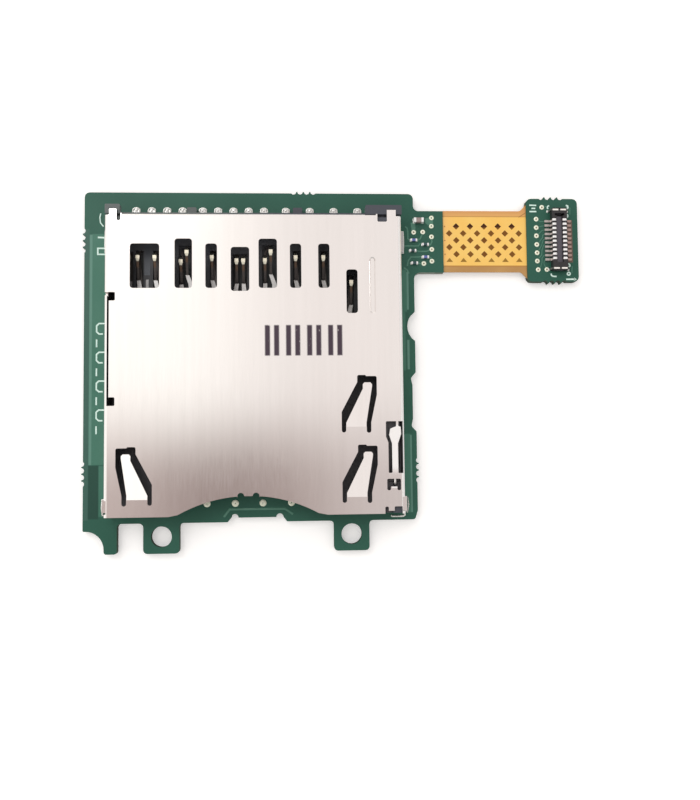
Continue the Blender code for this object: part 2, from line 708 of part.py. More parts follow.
def tail_places():
    """X of the 13 solder tails: three groups, each evenly spaced."""
    first = COVER_LEFT + 2.27
    near = [first + TAIL_PITCH * i for i in range(4)]
    middle = [near[-1] + (i + 1.31) * TAIL_PITCH for i in range(5)]
    far = [middle[-1] + (i + 0.91) * WIDE_TAIL_PITCH for i in range(4)]
    return near + middle + far


def run_height():
    """Height of the contacts' runs under the floor."""
    return BODY_Z + CONTACT_THICK * 1.5


def fan(arm, tail_x, front_y):
    """The run of a contact seen from above: under its arm, then across to its tail, then straight."""
    tip_x, tip_y, root_x = arm
    turn_y = COVER_REAR_Y - 2.95
    return [
        (root_x, front_y),
        (tip_x, min(tip_y + 0.5, turn_y - 0.1)),
        (tip_x, turn_y),
        (tail_x, COVER_REAR_Y + 0.05),
        (tail_x, COVER_REAR_Y + 0.4),
    ]


def arm_path(arm, root_y, width):
    """The folded-back arm, from the flat root over the fold and up to the curled, tapered tip."""
    tip_x, tip_y, root_x = arm
    run = run_height()
    level = run + 2 * FOLD_RADIUS
    crest = FLOOR_Z + TIP_RISE
    flare = width * ROOT_FLARE
    slim = width * ARM_SLIM
    bend_y = tip_y - ARM_BEND
    fold = [
        (root_x, root_y - FOLD_RADIUS * math.cos(a), run + FOLD_RADIUS + FOLD_RADIUS * math.sin(a), flare)
        for a in (math.radians(d) for d in (-90, -45, 0, 45, 90))
    ]
    rising = [
        (bend_y, level, width),
        (bend_y + 0.15, level + 0.06, slim),
        (tip_y - 0.4, crest - 0.12, slim),
        (tip_y - 0.2, crest - 0.02, width),
        (tip_y + 0.05, crest, width),
        (tip_y + 0.22, crest - 0.1, width * (1 + TIP_TAPER) / 2),
        (tip_y + 0.36, crest - 0.28, width * TIP_TAPER),
    ]
    arm = [(tip_x, *place) for place in rising]
    return [(root_x, root_y + 0.25, run, flare), *fold, (root_x, bend_y - ARM_KNEE, level, flare), *arm]


def arm_root(arms):
    """Y of the fold, the same for all arms of a contact."""
    return min(tip_y for _, tip_y, _ in arms) - ARM_LENGTH


def contact(name, arms, width, tail_x):
    """One contact: its solder tail, the run under the floor, and one or two sprung arms."""
    root_y = arm_root(arms)
    run = run_height()
    foot = BOARD_THICK + GAP + CONTACT_THICK / 2
    slim = width * RUN_TAPER
    level = [(x, y, run, slim) for x, y in fan(arms[0], tail_x, root_y + 0.12)]
    path = [*level, (tail_x, COVER_REAR_Y + 0.6, foot), (tail_x, COVER_REAR_Y + TAIL_END, foot)]
    if len(arms) == 1:
        path = arm_path(arms[0], root_y, width)[::-1][:-1] + path[1:]
        made = piece(name, lambda mesh: strip(mesh, path, width, CONTACT_THICK))
        return finish(made, GOLD)
    made = piece(name, lambda mesh: strip(mesh, path, width, CONTACT_THICK))
    left = min(root for _, _, root in arms) - width / 2
    right = max(root for _, _, root in arms) + width / 2
    low = run - CONTACT_THICK / 2 - 0.01
    join(made, block("bar", box(left, root_y + 0.06, right, root_y + 0.4), low, low + CONTACT_THICK))
    for arm in arms:
        join(made, piece("arm", lambda mesh: strip(mesh, arm_path(arm, root_y, width), width, CONTACT_THICK)))
    return finish(made, GOLD)


def socket_housing():
    """The socket's plastic body: floor, rear wall, corner blocks, rails, divider and pin block."""
    left = INNER_LEFT + SLIDER_PLAY
    right = INNER_RIGHT - SLIDER_PLAY
    rear = COVER_REAR_Y + BODY_REAR
    front = COVER_FRONT_Y + SLIDER_PLAY
    floor_front = COVER_REAR_Y - FLOOR_FRONT
    stop = COVER_REAR_Y - CARD_STOP
    plan = [
        (left, rear), (right, rear), (right, front), (DIVIDER_LEFT, front), (DIVIDER_LEFT, floor_front),
        (left, floor_front),
    ]
    made = block("socket_housing", plan, BODY_Z, FLOOR_Z)
    for x0, x1 in ((left, left + APRON), (DIVIDER_LEFT - APRON, DIVIDER_LEFT + 0.1)):
        join(made, block("apron", box(x0, front, x1, floor_front + 0.1), BODY_Z, FLOOR_Z - APRON_DROP))
    wall_z = COVER_Z - 0.04
    under = COVER_REAR_Y - SHEET - 0.05
    wall = [(stop, BODY_Z + 0.1), (stop, wall_z), (under, wall_z), (under, COVER_Z - COVER_LIP - 0.05),
            (rear, COVER_Z - COVER_LIP - 0.05), (rear, BODY_Z + 0.1)]
    join(made, block("wall", wall, left, right, axis="X"))
    corner_rear = COVER_REAR_Y + CORNER_BLOCK
    low = COVER_Z - CORNER_THICK
    corners = ((COVER_LEFT - 0.05, COVER_LEFT + CORNER_LEFT), (COVER_RIGHT - CORNER_RIGHT, COVER_RIGHT + 0.1))
    for x0, x1 in corners:
        join(made, block("corner", box(x0, COVER_REAR_Y + 0.05, x1, corner_rear, 0.08), low, wall_z - 0.06))
    tails = tail_places()
    for left_tail, right_tail in ((tails[3], tails[4]), (tails[9], tails[10])):
        x = (left_tail + right_tail) / 2
        join(made, block("bump", box(x - 0.44, rear - 0.2, x + 0.4, rear + 0.86, 0.08), BODY_Z, BODY_Z + 0.7))
    divider_rear = COVER_REAR_Y - DIVIDER_REAR
    join(made, block("divider", box(DIVIDER_LEFT, front + 0.8, CHANNEL_LEFT, divider_rear),
                     BODY_Z + 0.1, COVER_Z - 0.1))
    block_rear = COVER_REAR_Y - SLIDER_FRONT - SLIDER_PLAY
    pin_y = COVER_REAR_Y - PIN_FRONT
    join(made, block("pin block", box(DIVIDER_LEFT + 0.1, front, right, block_rear),
                     BODY_Z + 0.2, COVER_Z - 0.5))
    join(made, block("nose", box(CHANNEL_LEFT + 0.45, front, right, front + 0.75),
                     BODY_Z + 0.3, COVER_Z - 0.1))
    hole = arc(CHANNEL_X, pin_y, PIN_WIRE / 2 + SLIDER_PLAY, 0, 330, 11)
    cut(made, block("pin hole", hole, COVER_Z - 1.5, COVER_Z + 1))
    boss_z = (FLOOR_Z + COVER_Z - SLIDER_DROP) / 2
    boss = arc(CHANNEL_X, boss_z, SPRING_RADIUS - SPRING_WIRE - 0.1, 0, 330, 11)
    join(made, block("boss", boss, stop - 0.7, stop + 0.2, axis="Y"))
    width = GROOVE_PLAY * 2
    grooves = []
    slots = []
    for _, arms, contact_width, tail_x in contact_sites():
        root_y = arm_root(arms)
        half = (contact_width + width) / 2
        line = fan(arms[0], tail_x, root_y)
        line[-1] = (tail_x, rear + 1)
        grooves.append([(x - half, y) for x, y in line] + [(x + half, y) for x, y in line[::-1]])
        sides = [x for tip_x, _, root in arms for x in (tip_x, root)]
        tip = max(tip_y for _, tip_y, _ in arms)
        slots.append(box(min(sides) - half, root_y - FOLD_RADIUS - 0.15, max(sides) + half, tip + 0.65))
    cut(made, blocks("grooves", grooves, BODY_Z - 0.5, run_height() + CONTACT_THICK / 2 + GAP + 0.02))
    cut(made, blocks("slots", slots, BODY_Z - 0.5, FLOOR_Z + 0.5))
    return finish(made, BLACK)


def cover_section():
    """The cover's section across the card: a top with two bent sides."""
    bend = COVER_BEND
    inner = COVER_BEND - SHEET
    left = COVER_LEFT
    right = COVER_RIGHT
    return [
        (left, BODY_Z),
        *arc(left + bend, TOP_Z - bend, bend, 180, 90, 4),
        *arc(right - bend, TOP_Z - bend, bend, 90, 0, 4),
        (right, BODY_Z),
        (right - SHEET, BODY_Z),
        *arc(right - bend, TOP_Z - bend, inner, 0, 90, 3),
        *arc(left + bend, TOP_Z - bend, inner, 90, 180, 3),
        (left + SHEET, BODY_Z),
    ]


def window_outlines():
    """The eight windows over the contacts."""
    one = CARD_RIGHT - FIRST_CONTACT
    near = COVER_REAR_Y - 2.7
    far = COVER_REAR_Y - 6.65
    reach = {1: (0.5, 0.5), 2: (0.5, 0.5), 3: (0.76, 0.86), 4: (0.7, 0.92), 5: (0.42, 0.6), 6: (0.6, 0.92),
             7: (LAST_CONTACT_STEP + 0.48, 0.57)}
    windows = []
    for number, (left, right) in reach.items():
        x = one - (number - 1) * CONTACT_PITCH
        rear = {3: near + 0.44, 4: near - 0.3, 6: near + 0.44}.get(number, near)
        windows.append((x - left, rear, x + right, far - 0.27 if number == 4 else far))
    nine = one + CONTACT_PITCH
    windows.append((nine - 0.53, near - 2.3, nine + 0.47, far - 2.25))
    return [box(x0, y1, x1, y0, 0.25) for x0, y0, x1, y1 in windows]


def oblong(mesh, x, y1, y0, half, level):
    """A ring with round ends, of the given half width, about a line along Y."""
    end = RIB_HALF - half
    points = box(x - half, y0 + end, x + half, y1 - end, half - 0.01)
    return [mesh.verts.new((*point, level)) for point in points]


def leaf_outline(x, y, side):
    """A leaf spring's opening in the cover. Side 1 has its leaning edge at the left, -1 at the right."""
    corners = [
        (0.0, 0.0, 0.15), (0.0, -0.62), (1.4, -3.25), (1.4, -5.05, 0.18), (1.02, -5.05, 0.18),
        (1.02, -4.55), (-0.79, -4.55), (-0.79, -5.09, 0.19), (-1.19, -5.09, 0.19), (-1.19, -4.2),
        (-1.72, -1.75), (-1.72, -0.1, 0.15), (-0.78, -0.1), (-0.72, 0.0),
    ]
    return rounded([(x + side * u, y + v, *r) for u, v, *r in corners])


def leaf_tongue(x, y, side, drop):
    """A leaf spring: its free rear end is pressed down into the slot."""
    outline = [(-0.52, -1.17), (-0.52, -0.78), (-0.66, -0.62), (-1.2, -0.62), (-1.34, -0.78), (-1.34, -0.95),
               (-0.78, -4.2), (-0.78, -4.9), (1.0, -4.9), (1.0, -4.2)]
    placed = [(x + side * u, y + v) for u, v in outline]
    made = block("tongue", placed, COVER_Z + 0.015, TOP_Z - 0.015)
    for vertex in made.data.vertices:
        vertex.co.z -= drop * max(0, vertex.co.y - (y - 4.9)) / 4.3
    return made


def cover_cuts():
    """All openings that go through the cover's top, clear of each other."""
    left = COVER_LEFT
    right = COVER_RIGHT
    rear = COVER_REAR_Y
    front = COVER_FRONT_Y
    cx = CHANNEL_X
    finger_x = left + CARD_WIDTH / 2 + 0.43
    finger = [
        (finger_x - 6.9, front - 1), (finger_x - 6.9, front), (finger_x - 6.1, front + 0.15),
        *arc(finger_x, front + 1.72 - 12.6, 12.6, 116, 94.6, 8),
        *arc(finger_x - 0.66, front + 1.7, 0.3, 200, 0, 6),
        *arc(finger_x + 0.66, front + 1.7, 0.3, 180, -20, 6),
        *arc(finger_x, front + 1.72 - 12.6, 12.6, 85.4, 64, 8),
        (finger_x + 6.1, front + 0.15), (finger_x + 6.9, front), (finger_x + 6.9, front - 1),
    ]
    side_slit = [
        (left - 0.5, rear - 7.0), (left + 0.93, rear - 7.0, 0.1), (left + 0.93, rear - 7.75, 0.1),
        (left + 0.41, rear - 7.75), (left + 0.41, rear - 16.2), (left + 0.93, rear - 16.2, 0.1),
        (left + 0.93, rear - 16.95, 0.1), (left + 0.24, rear - 16.95), (left + 0.24, rear - 7.27),
        (left - 0.5, rear - 7.27),
    ]
    latch_rear = rear - 18.5
    latch_left = [
        (cx - 0.8, latch_rear, 0.1), (cx + 0.1, latch_rear), (cx + 0.1, latch_rear - 0.45),
        (cx - 0.42, latch_rear - 0.65, 0.1), (cx - 0.52, latch_rear - 1.2), (cx - 0.28, latch_rear - 1.95),
        (cx - 0.27, latch_rear - 4.53, 0.1), (cx - 0.6, latch_rear - 4.53, 0.1), (cx - 0.6, latch_rear - 1.85),
        (cx - 0.8, latch_rear - 1.35),
    ]
    latch_right = [
        (cx + 0.3, latch_rear), (INNER_RIGHT + 0.06, latch_rear), (INNER_RIGHT + 0.06, latch_rear - 4.55),
        (cx + 0.25, latch_rear - 4.55, 0.08), (cx + 0.25, latch_rear - 1.95), (cx + 0.54, latch_rear - 1.1),
        (cx + 0.5, latch_rear - 0.5), (cx + 0.3, latch_rear - 0.42),
    ]
    pin_window = [
        (cx - 0.75, rear - 23.54, 0.12), (cx + 0.46, rear - 23.54, 0.12), (cx + 0.46, rear - 24.54, 0.12),
        (cx + 0.14, rear - 24.54, 0.12), (cx + 0.14, rear - 24.22), (cx - 0.43, rear - 24.22),
        (cx - 0.43, rear - 24.54, 0.12), (cx - 0.75, rear - 24.54, 0.12),
    ]
    rear_edge = [
        (left + 1.03, rear + 1), (left + 1.03, rear - 0.65, 0.15), (left + 1.38, rear - 0.65, 0.15),
        (left + 1.38, rear), (right - 2.12, rear), (right - 2.12, rear - 0.7, 0.12),
        (right - 1.27, rear - 0.7, 0.12), (right - 1.27, rear + 1),
    ]
    corners = [
        box(left - 1, rear - 0.15, left + 0.4, rear + 1),
        box(right - 0.47, rear - 0.2, right + 1, rear + 1),
    ]
    front_corner = [
        (right - 1.77, front - 1), (right - 1.77, front + 0.62, 0.1), (right - 1.47, front + 0.62, 0.1),
        (right - 1.47, front + 0.25), (right - 0.95, front + 0.25), (right - 0.95, front + 0.63, 0.1),
        (right - 0.25, front + 0.63), (right - 0.25, front - 1),
    ]
    leaves = [leaf_outline(x, y, side) for x, y, side in leaf_places()]
    shaped = [rounded(outline) for outline in (side_slit, latch_left, latch_right, pin_window, rear_edge)]
    return [*window_outlines(), *leaves, *shaped, *corners, finger, rounded(front_corner)]


def leaf_places():
    """Where the three leaf springs are: the inner rear corner of each opening, and the side it leans to."""
    return [
        (COVER_LEFT + 2.75, COVER_REAR_Y - 20.53, 1),
        (COVER_RIGHT - 4.1, COVER_REAR_Y - 20.53, -1),
        (COVER_RIGHT - 4.1, COVER_REAR_Y - 14.4, -1),
    ]


def socket_shell():
    """The folded cover, with its windows, leaf springs, embossed rib, rear lip and solder feet."""
    rear = COVER_REAR_Y
    front = COVER_FRONT_Y
    made = block("socket_shell", cover_section(), front, rear + COVER_REAR_TAB, axis="Y")
    cut(made, blocks("openings", cover_cuts(), COVER_Z - 0.5, TOP_Z + 1))
    walls = [box(COVER_LEFT - 1, rear - 0.15, INNER_LEFT + 0.1, rear + 1),
             box(INNER_RIGHT - 0.1, rear - 0.2, COVER_RIGHT + 1, rear + 1)]
    cut(made, blocks("wall ends", walls, 0, COVER_Z))
    slits = [box(COVER_LEFT - 1, front + 0.25, INNER_LEFT + 0.02, front + 1.45),
             box(INNER_RIGHT - 0.02, front + 0.2, COVER_RIGHT + 1, front + 1.45)]
    cut(made, blocks("wall slits", slits, BODY_Z + 2 * SHEET, TOP_Z + 1))
    rib = (COVER_RIGHT - 2.62, rear - 3.85, rear - 8.95)
    cut(made, piece("groove", lambda mesh: skin(mesh, [
        oblong(mesh, *rib, 0.16, TOP_Z - RIB_DEPTH), oblong(mesh, *rib, 0.28, TOP_Z + 0.02)])))
    join(made, piece("ridge", lambda mesh: skin(mesh, [
        oblong(mesh, *rib, 0.16, COVER_Z - RIB_DEPTH), oblong(mesh, *rib, 0.22, COVER_Z + 0.02)])))
    lip = [
        *arc(rear - COVER_BEND, TOP_Z - COVER_BEND, COVER_BEND - 0.005, 92, 0, 4),
        (rear, COVER_Z - COVER_LIP),
        (rear - SHEET, COVER_Z - COVER_LIP),
        *arc(rear - COVER_BEND, TOP_Z - COVER_BEND, COVER_BEND - SHEET - 0.005, 0, 92, 3),
    ]
    trim = box(COVER_LEFT + 1.5, rear - COVER_BEND + 0.1, COVER_RIGHT - 2.25, rear + 1)
    cut(made, block("trim", trim, COVER_Z - 1, TOP_Z + 1))
    join(made, block("lip", lip, COVER_LEFT + 1.45, COVER_RIGHT - 2.2, axis="X"))
    for x, y, side in leaf_places():
        join(made, leaf_tongue(x, y, side, 0.45))
    feet = [
        (COVER_LEFT - 0.65, INNER_LEFT - 0.05, front + 0.28, front + 1.42),
        (INNER_RIGHT + 0.05, COVER_RIGHT + 0.45, rear - 2.9, rear - 0.95),
        (INNER_RIGHT + 0.05, COVER_RIGHT + 0.45, front + 0.1, front + 1.4),
        (COVER_LEFT - 0.45, INNER_LEFT - 0.05, rear - 2.9, rear - 0.95),
    ]
    for x0, x1, y0, y1 in feet:
        join(made, block("foot", box(x0, y0, x1, y1), BODY_Z + 0.005, BODY_Z + SHEET))
    return finish(made, NICKEL)


def slider():
    """The push-push slide: a bar with a hook for the card's corner and a heart-shaped track."""
    left = CHANNEL_LEFT + SLIDER_PLAY
    right = INNER_RIGHT - SLIDER_PLAY - SLIDER_PLAY
    rear = COVER_REAR_Y - SLIDER_REAR
    front = COVER_REAR_Y - SLIDER_FRONT
    low = FLOOR_Z + GAP
    high = COVER_Z - SLIDER_DROP
    made = block("slider", box(left, front, right, rear), low, high)
    reach = left - HOOK_REACH
    hook = [(left + 0.3, rear), (reach, rear), (reach, rear - HOOK_DEPTH),
            (left + 0.3, rear - HOOK_DEPTH - HOOK_REACH - 0.3)]
    join(made, block("hook", hook, low + 0.12, high - 0.1))
    half = PIN_WIRE / 2 + TRACK_PLAY
    start = COVER_REAR_Y - PIN_FRONT + PIN_LENGTH
    end = start - SLIDER_TRAVEL
    track = [
        (CHANNEL_X - half, start + half), (CHANNEL_X + half, start + half),
        (CHANNEL_X + half + PIN_SWING, start - 0.9), (CHANNEL_X + half + PIN_SWING, end + 0.9),
        (CHANNEL_X + half, end - half), (CHANNEL_X - half - PIN_SWING, end - half),
        (CHANNEL_X - half - PIN_SWING, end),
    ]
    near = start - SLIDER_TRAVEL * 0.33
    island = [
        (CHANNEL_X + half - PIN_SWING * 0.3, near), (CHANNEL_X + half, near), (CHANNEL_X + half, end + 1.0),
        (CHANNEL_X + half - PIN_SWING * 0.5, end + 0.7), (CHANNEL_X + half - PIN_SWING * 0.85, end + 0.75),
    ]
    cut(made, block("track", track, high - TRACK_DEPTH, high + 1, holes=[island]))
    return finish(made, BLACK, (CHANNEL_X, rear, low))


def cam_pin():
    """The bent wire: its front end turns in the body, its rear end runs in the slider's track."""
    front = COVER_REAR_Y - PIN_FRONT
    rear = front + PIN_LENGTH
    bar = COVER_Z - SLIDER_DROP + TRACK_PLAY * 2 + PIN_WIRE / 2
    tip = COVER_Z - SLIDER_DROP - TRACK_DEPTH + 0.08
    bend = PIN_WIRE * 0.8
    profile = [
        (front, COVER_Z - 1.4), (front, bar - bend), (front + bend * 0.3, bar - bend * 0.3),
        (front + bend, bar), (rear - bend, bar), (rear - bend * 0.3, bar - bend * 0.3),
        (rear, bar - bend), (rear, tip),
    ]
    path = [(CHANNEL_X, y, z) for y, z in profile]
    made = piece("cam_pin", lambda mesh: tube(mesh, path, PIN_WIRE / 2, 8))
    return finish(made, STEEL, (CHANNEL_X, front, bar))


def eject_spring():
    """The coil spring between the slider and the socket's rear wall."""
    low = COVER_REAR_Y - SLIDER_REAR + GAP + SPRING_WIRE / 2
    high = COVER_REAR_Y - CARD_STOP - GAP - SPRING_WIRE / 2
    height = (FLOOR_Z + COVER_Z - SLIDER_DROP) / 2
    radius = SPRING_RADIUS - SPRING_WIRE / 2
    steps = 12
    path = []
    for i in range(SPRING_TURNS * steps + 1):
        turn = 2 * math.pi * i / steps
        share = i / (SPRING_TURNS * steps)
        y = low + (high - low) * share
        path.append((CHANNEL_X + radius * math.cos(turn), y, height + radius * math.sin(turn)))
    made = piece("eject_spring", lambda mesh: tube(mesh, path, SPRING_WIRE / 2, 6))
    return finish(made, STEEL, (CHANNEL_X, high, height))


def build():
    """Makes every piece of the reader board."""
    for old in list(bpy.data.objects):
        bpy.data.objects.remove(old)
    main_board()
    flex_tail()
    connector_board()
    plug_housing()
    for i, y in enumerate(plug_rows()):
        plug_contact(2 * i + 1, -1, y)
        plug_contact(2 * i + 2, 1, y)
    plug_nail("plug_nail_rear", 1)
    plug_nail("plug_nail_front", -1)
    socket_housing()
    for name, arms, width, tail_x in contact_sites():
        contact(name, arms, width, tail_x)
    slider()
    cam_pin()
    eject_spring()
    socket_shell()
    neck = BOARD_WIDTH
    chip("capacitor", neck + 0.46, NECK_REAR_Y - 0.94, 0.9, 0.4, 0.5, CERAMIC)
    spots = ((0.0, 2.75), (1.07, 3.16), (-0.1, 3.73), (1.07, 4.33), (0.04, 4.89))
    for i, (x, y) in enumerate(spots):
        chip(f"chip_{i + 1}", neck + x, NECK_REAR_Y - y, 0.6, 0.21, 0.28, CERAMIC)


build()
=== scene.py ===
import math

import bmesh
import bpy
from mathutils import Matrix, Vector


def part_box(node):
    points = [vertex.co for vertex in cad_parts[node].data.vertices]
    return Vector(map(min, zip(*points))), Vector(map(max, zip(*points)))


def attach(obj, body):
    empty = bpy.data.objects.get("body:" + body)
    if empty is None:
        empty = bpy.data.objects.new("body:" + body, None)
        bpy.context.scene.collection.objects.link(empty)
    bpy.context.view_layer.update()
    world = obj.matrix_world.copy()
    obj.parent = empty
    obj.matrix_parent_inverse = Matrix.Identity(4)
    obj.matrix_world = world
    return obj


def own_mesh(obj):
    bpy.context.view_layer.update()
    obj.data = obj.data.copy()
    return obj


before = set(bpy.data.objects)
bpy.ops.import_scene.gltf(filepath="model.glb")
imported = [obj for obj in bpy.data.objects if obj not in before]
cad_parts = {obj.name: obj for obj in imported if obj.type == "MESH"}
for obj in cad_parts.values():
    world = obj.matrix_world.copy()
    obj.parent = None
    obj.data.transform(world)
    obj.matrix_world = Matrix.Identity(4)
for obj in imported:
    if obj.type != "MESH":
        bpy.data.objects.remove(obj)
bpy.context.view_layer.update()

MM = 0.001
# The bench frame, in millimetres: X from the main board's left edge, Y from its rear edge, Z from its
# underside. This is the part's own origin as the bench frame sees it.
BENCH = Vector((22.61, -16.245, 0))

# The camera fitted to the photo: its place in bench millimetres, its turn as an axis times degrees,
# and its focal length in the photo's pixels
CAMERA_PLACE = (19.062, -24.222, 82.344)
CAMERA_TURN = (-3.624, 3.359, 0.571)
CAMERA_FOCAL = 900.0
PHOTO_HEIGHT = 800.0
SENSOR = 36.0

# Heights and edges in bench millimetres
BOARD_TOP = 0.8
FILM_TOP = 0.65
COVER_TOP = 3.6
COVER_REAR = -2.65
COVER_LEFT = 2.37
COVER_RIGHT = 28.47
COVER_FRONT = -29.23
PLUG_MIDDLE = 43.465

# How far the thin layers stand up from the board: copper under the mask, tinned pads and legend ink
COPPER = 0.012
PAD = 0.02
SILK = 0.022

# Pitches of the board's patterns: glass cloth, its layers and the tracks underneath
CLOTH = 0.42
LAYER = 0.13
UNDER_TRACKS = 0.95

# The ink stamp on the cover: pairs of bars
STAMP_LEFT = 16.3
STAMP_FRONT = -15.3
STAMP_REAR = -12.6
PAIRS = 4
PAIR_PITCH = 1.85
BAR_PITCH = 0.8
BAR_WIDTH = 0.45

# How the white floor glows towards the camera, and the angle over which an edge counts as sharp
FLOOR_GLOW = 0.34
SHARP = math.radians(40)


def at(x, y, z=0.0):
    """A point of the bench frame, in millimetres, as a place in the scene."""
    return (Vector((x, y, z)) - BENCH) * MM


def bench_box(node):
    """The low and high corners of a node's box in bench millimetres."""
    return [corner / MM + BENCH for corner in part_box(node)]


class Graph:
    """A node tree, with short calls for its arithmetic."""

    def __init__(self, tree):
        self.tree = tree

    def feed(self, socket, value):
        """Links or sets a socket. A colour may leave out its alpha."""
        if isinstance(value, bpy.types.NodeSocket):
            self.tree.links.new(value, socket)
        elif isinstance(value, tuple) and len(value) == 3 and socket.type == "RGBA":
            socket.default_value = (*value, 1)
        elif value is not None:
            socket.default_value = value

    def node(self, kind, *values, **settings):
        """A new node with its settings, and with values or links for its first sockets."""
        made = self.tree.nodes.new(kind)
        for key, value in settings.items():
            setattr(made, key, value)
        for socket, value in zip(made.inputs, values):
            self.feed(socket, value)
        return made

    def sum(self, operation, *values):
        """The result of a maths node."""
        return self.node("ShaderNodeMath", *values, operation=operation).outputs[0]

    def step(self, value, low, high, start=0.0, end=1.0):
        """Goes smoothly from start to end while the value goes from low to high."""
        made = self.node("ShaderNodeMapRange", interpolation_type="SMOOTHSTEP")
        for socket, given in zip(made.inputs, (value, low, high, start, end)):
            self.feed(socket, given)
        return made.outputs[0]

    def fall(self, value, low, high):
        """1 below low and 0 above high."""
        return self.step(value, low, high, 1, 0)

    def band(self, value, low, high, soft=0.03):
        """1 between low and high and 0 outside."""
        rise = self.step(value, low - soft, low + soft)
        return self.sum("MULTIPLY", rise, self.fall(value, high - soft, high + soft))

    def wave(self, value, pitch):
        """A sine from -1 to 1 that repeats after a pitch."""
        return self.sum("SINE", self.sum("MULTIPLY", value, 2 * math.pi / pitch))

    def any(self, *masks):
        """The largest of several masks."""
        found = masks[0]
        for mask in masks[1:]:
            found = self.sum("MAXIMUM", found, mask)
        return found

    def all(self, *masks):
        """The product of several masks."""
        found = masks[0]
        for mask in masks[1:]:
            found = self.sum("MULTIPLY", found, mask)
        return found

    def mix(self, factor, first, second, strength=None):
        """One colour where the factor is 0 and another, at most at the given strength, where it is 1."""
        if strength:
            factor = self.sum("MULTIPLY", factor, strength)
        made = self.node("ShaderNodeMix", data_type="RGBA")
        for socket, value in zip((made.inputs[0], made.inputs[6], made.inputs[7]), (factor, first, second)):
            self.feed(socket, value)
        return made.outputs[2]


class Shade(Graph):
    """A material with patterns laid out in bench millimetres."""

    def __init__(self, name, metallic=0.0, roughness=0.4, coat=0.0, specular=0.5):
        self.material = bpy.data.materials.new(name)
        self.material.use_nodes = True
        super().__init__(self.material.node_tree)
        self.shader = self.tree.nodes["Principled BSDF"]
        self.set("Metallic", metallic)
        self.set("Roughness", roughness)
        self.set("Specular IOR Level", specular)
        self.set("Coat Weight", coat)
        self.set("Coat Roughness", 0.12)
        source = self.node("ShaderNodeTexCoord").outputs["Object"]
        scale = (1 / MM, 1 / MM, 1 / MM)
        made = self.node("ShaderNodeVectorMath", source, scale, tuple(BENCH), operation="MULTIPLY_ADD")
        self.place = made.outputs[0]
        self.x, self.y, self.z = self.node("ShaderNodeSeparateXYZ", self.place).outputs
        normal = self.node("ShaderNodeNewGeometry").outputs["Normal"]
        self.facing = self.node("ShaderNodeSeparateXYZ", normal).outputs

    def set(self, socket, value):
        """Sets or links one of the shader's sockets."""
        self.feed(self.shader.inputs[socket], value)

    def area(self, x0, y0, x1, y1, soft=0.03):
        """1 inside a rectangle seen from above."""
        return self.sum("MULTIPLY", self.band(self.x, x0, x1, soft), self.band(self.y, y0, y1, soft))

    def upward(self, low=0.5, high=0.8):
        """1 on faces that look up."""
        return self.step(self.facing[2], low, high)

    def upright(self):
        """1 on faces that stand up."""
        return self.fall(self.sum("ABSOLUTE", self.facing[2]), 0.35, 0.6)

    def noise(self, size, detail=2.0, stretch=(1, 1, 1)):
        """Noise from 0 to 1 whose lumps are about one size in millimetres."""
        scaled = self.node("ShaderNodeVectorMath", self.place, stretch, operation="MULTIPLY").outputs[0]
        made = self.node("ShaderNodeTexNoise", scaled)
        made.inputs["Scale"].default_value = 1 / size
        made.inputs["Detail"].default_value = detail
        return self.node("ShaderNodeMapRange", made.outputs[0], 0.3, 0.7).outputs[0]

    def colour(self, value):
        """Sets the surface's colour."""
        self.set("Base Color", value)

    def bump(self, height, strength, depth):
        """Dents the surface by a pattern, by a depth in millimetres."""
        made = self.tree.nodes.new("ShaderNodeBump")
        made.inputs["Strength"].default_value = strength
        made.inputs["Distance"].default_value = depth * MM
        self.tree.links.new(height, made.inputs["Height"])
        self.tree.links.new(made.outputs[0], self.shader.inputs["Normal"])


def board_top(shade, green, pour_green):
    """Adds copper pours, ridges with a painted highlight, dark gaps and painted shade under the cover to the
    upper side.
    """
    top = shade.upward()
    pours = shade.any(
        shade.area(0.72, -24.7, 2.4, -3.84, 0.06),
        shade.area(1.38, -29.3, 2.0, -24.8, 0.06),
        shade.area(28.3, -11.0, 29.22, -7.1, 0.08),
        shade.area(28.3, -16.4, 29.05, -11.0, 0.08),
        shade.area(28.3, -29.3, 29.32, -22.2, 0.08),
    )
    # Painted highlight along the mask's ridge over each copper edge
    ridges = shade.any(
        shade.area(0.48, -24.7, 0.73, -3.9, 0.05),
        shade.area(29.22, -10.8, 29.4, -7.3, 0.04),
        shade.area(29.2, -16.3, 29.4, -13.6, 0.05),
        shade.area(29.32, -29.3, 29.47, -22.3, 0.04),
    )
    dark = shade.any(
        shade.area(0.45, -29.5, 1.36, -24.75, 0.06),
        shade.area(42.2, -6.4, 42.8, -2.4, 0.05),
    )
    brown = shade.area(44.15, -6.4, 44.85, -2.4, 0.05)
    # Painted shade on the board under the cover, turning to painted light towards its rear
    painted_shade_area = shade.area(2.2, -27.2, 28.2, -3.2, 0.1)
    painted_shade = shade.mix(shade.step(shade.y, -7.5, -5.5), (0.035, 0.042, 0.045), (0.13, 0.14, 0.15))
    green = shade.mix(shade.all(pours, top), green, pour_green)
    green = shade.mix(shade.all(ridges, top), green, (0.115, 0.265, 0.21))
    green = shade.mix(shade.all(dark, top), green, (0.006, 0.02, 0.018), 0.45)
    green = shade.mix(shade.all(brown, top), green, (0.24, 0.12, 0.1), 0.7)
    return shade.mix(shade.all(painted_shade_area, top), green, painted_shade)


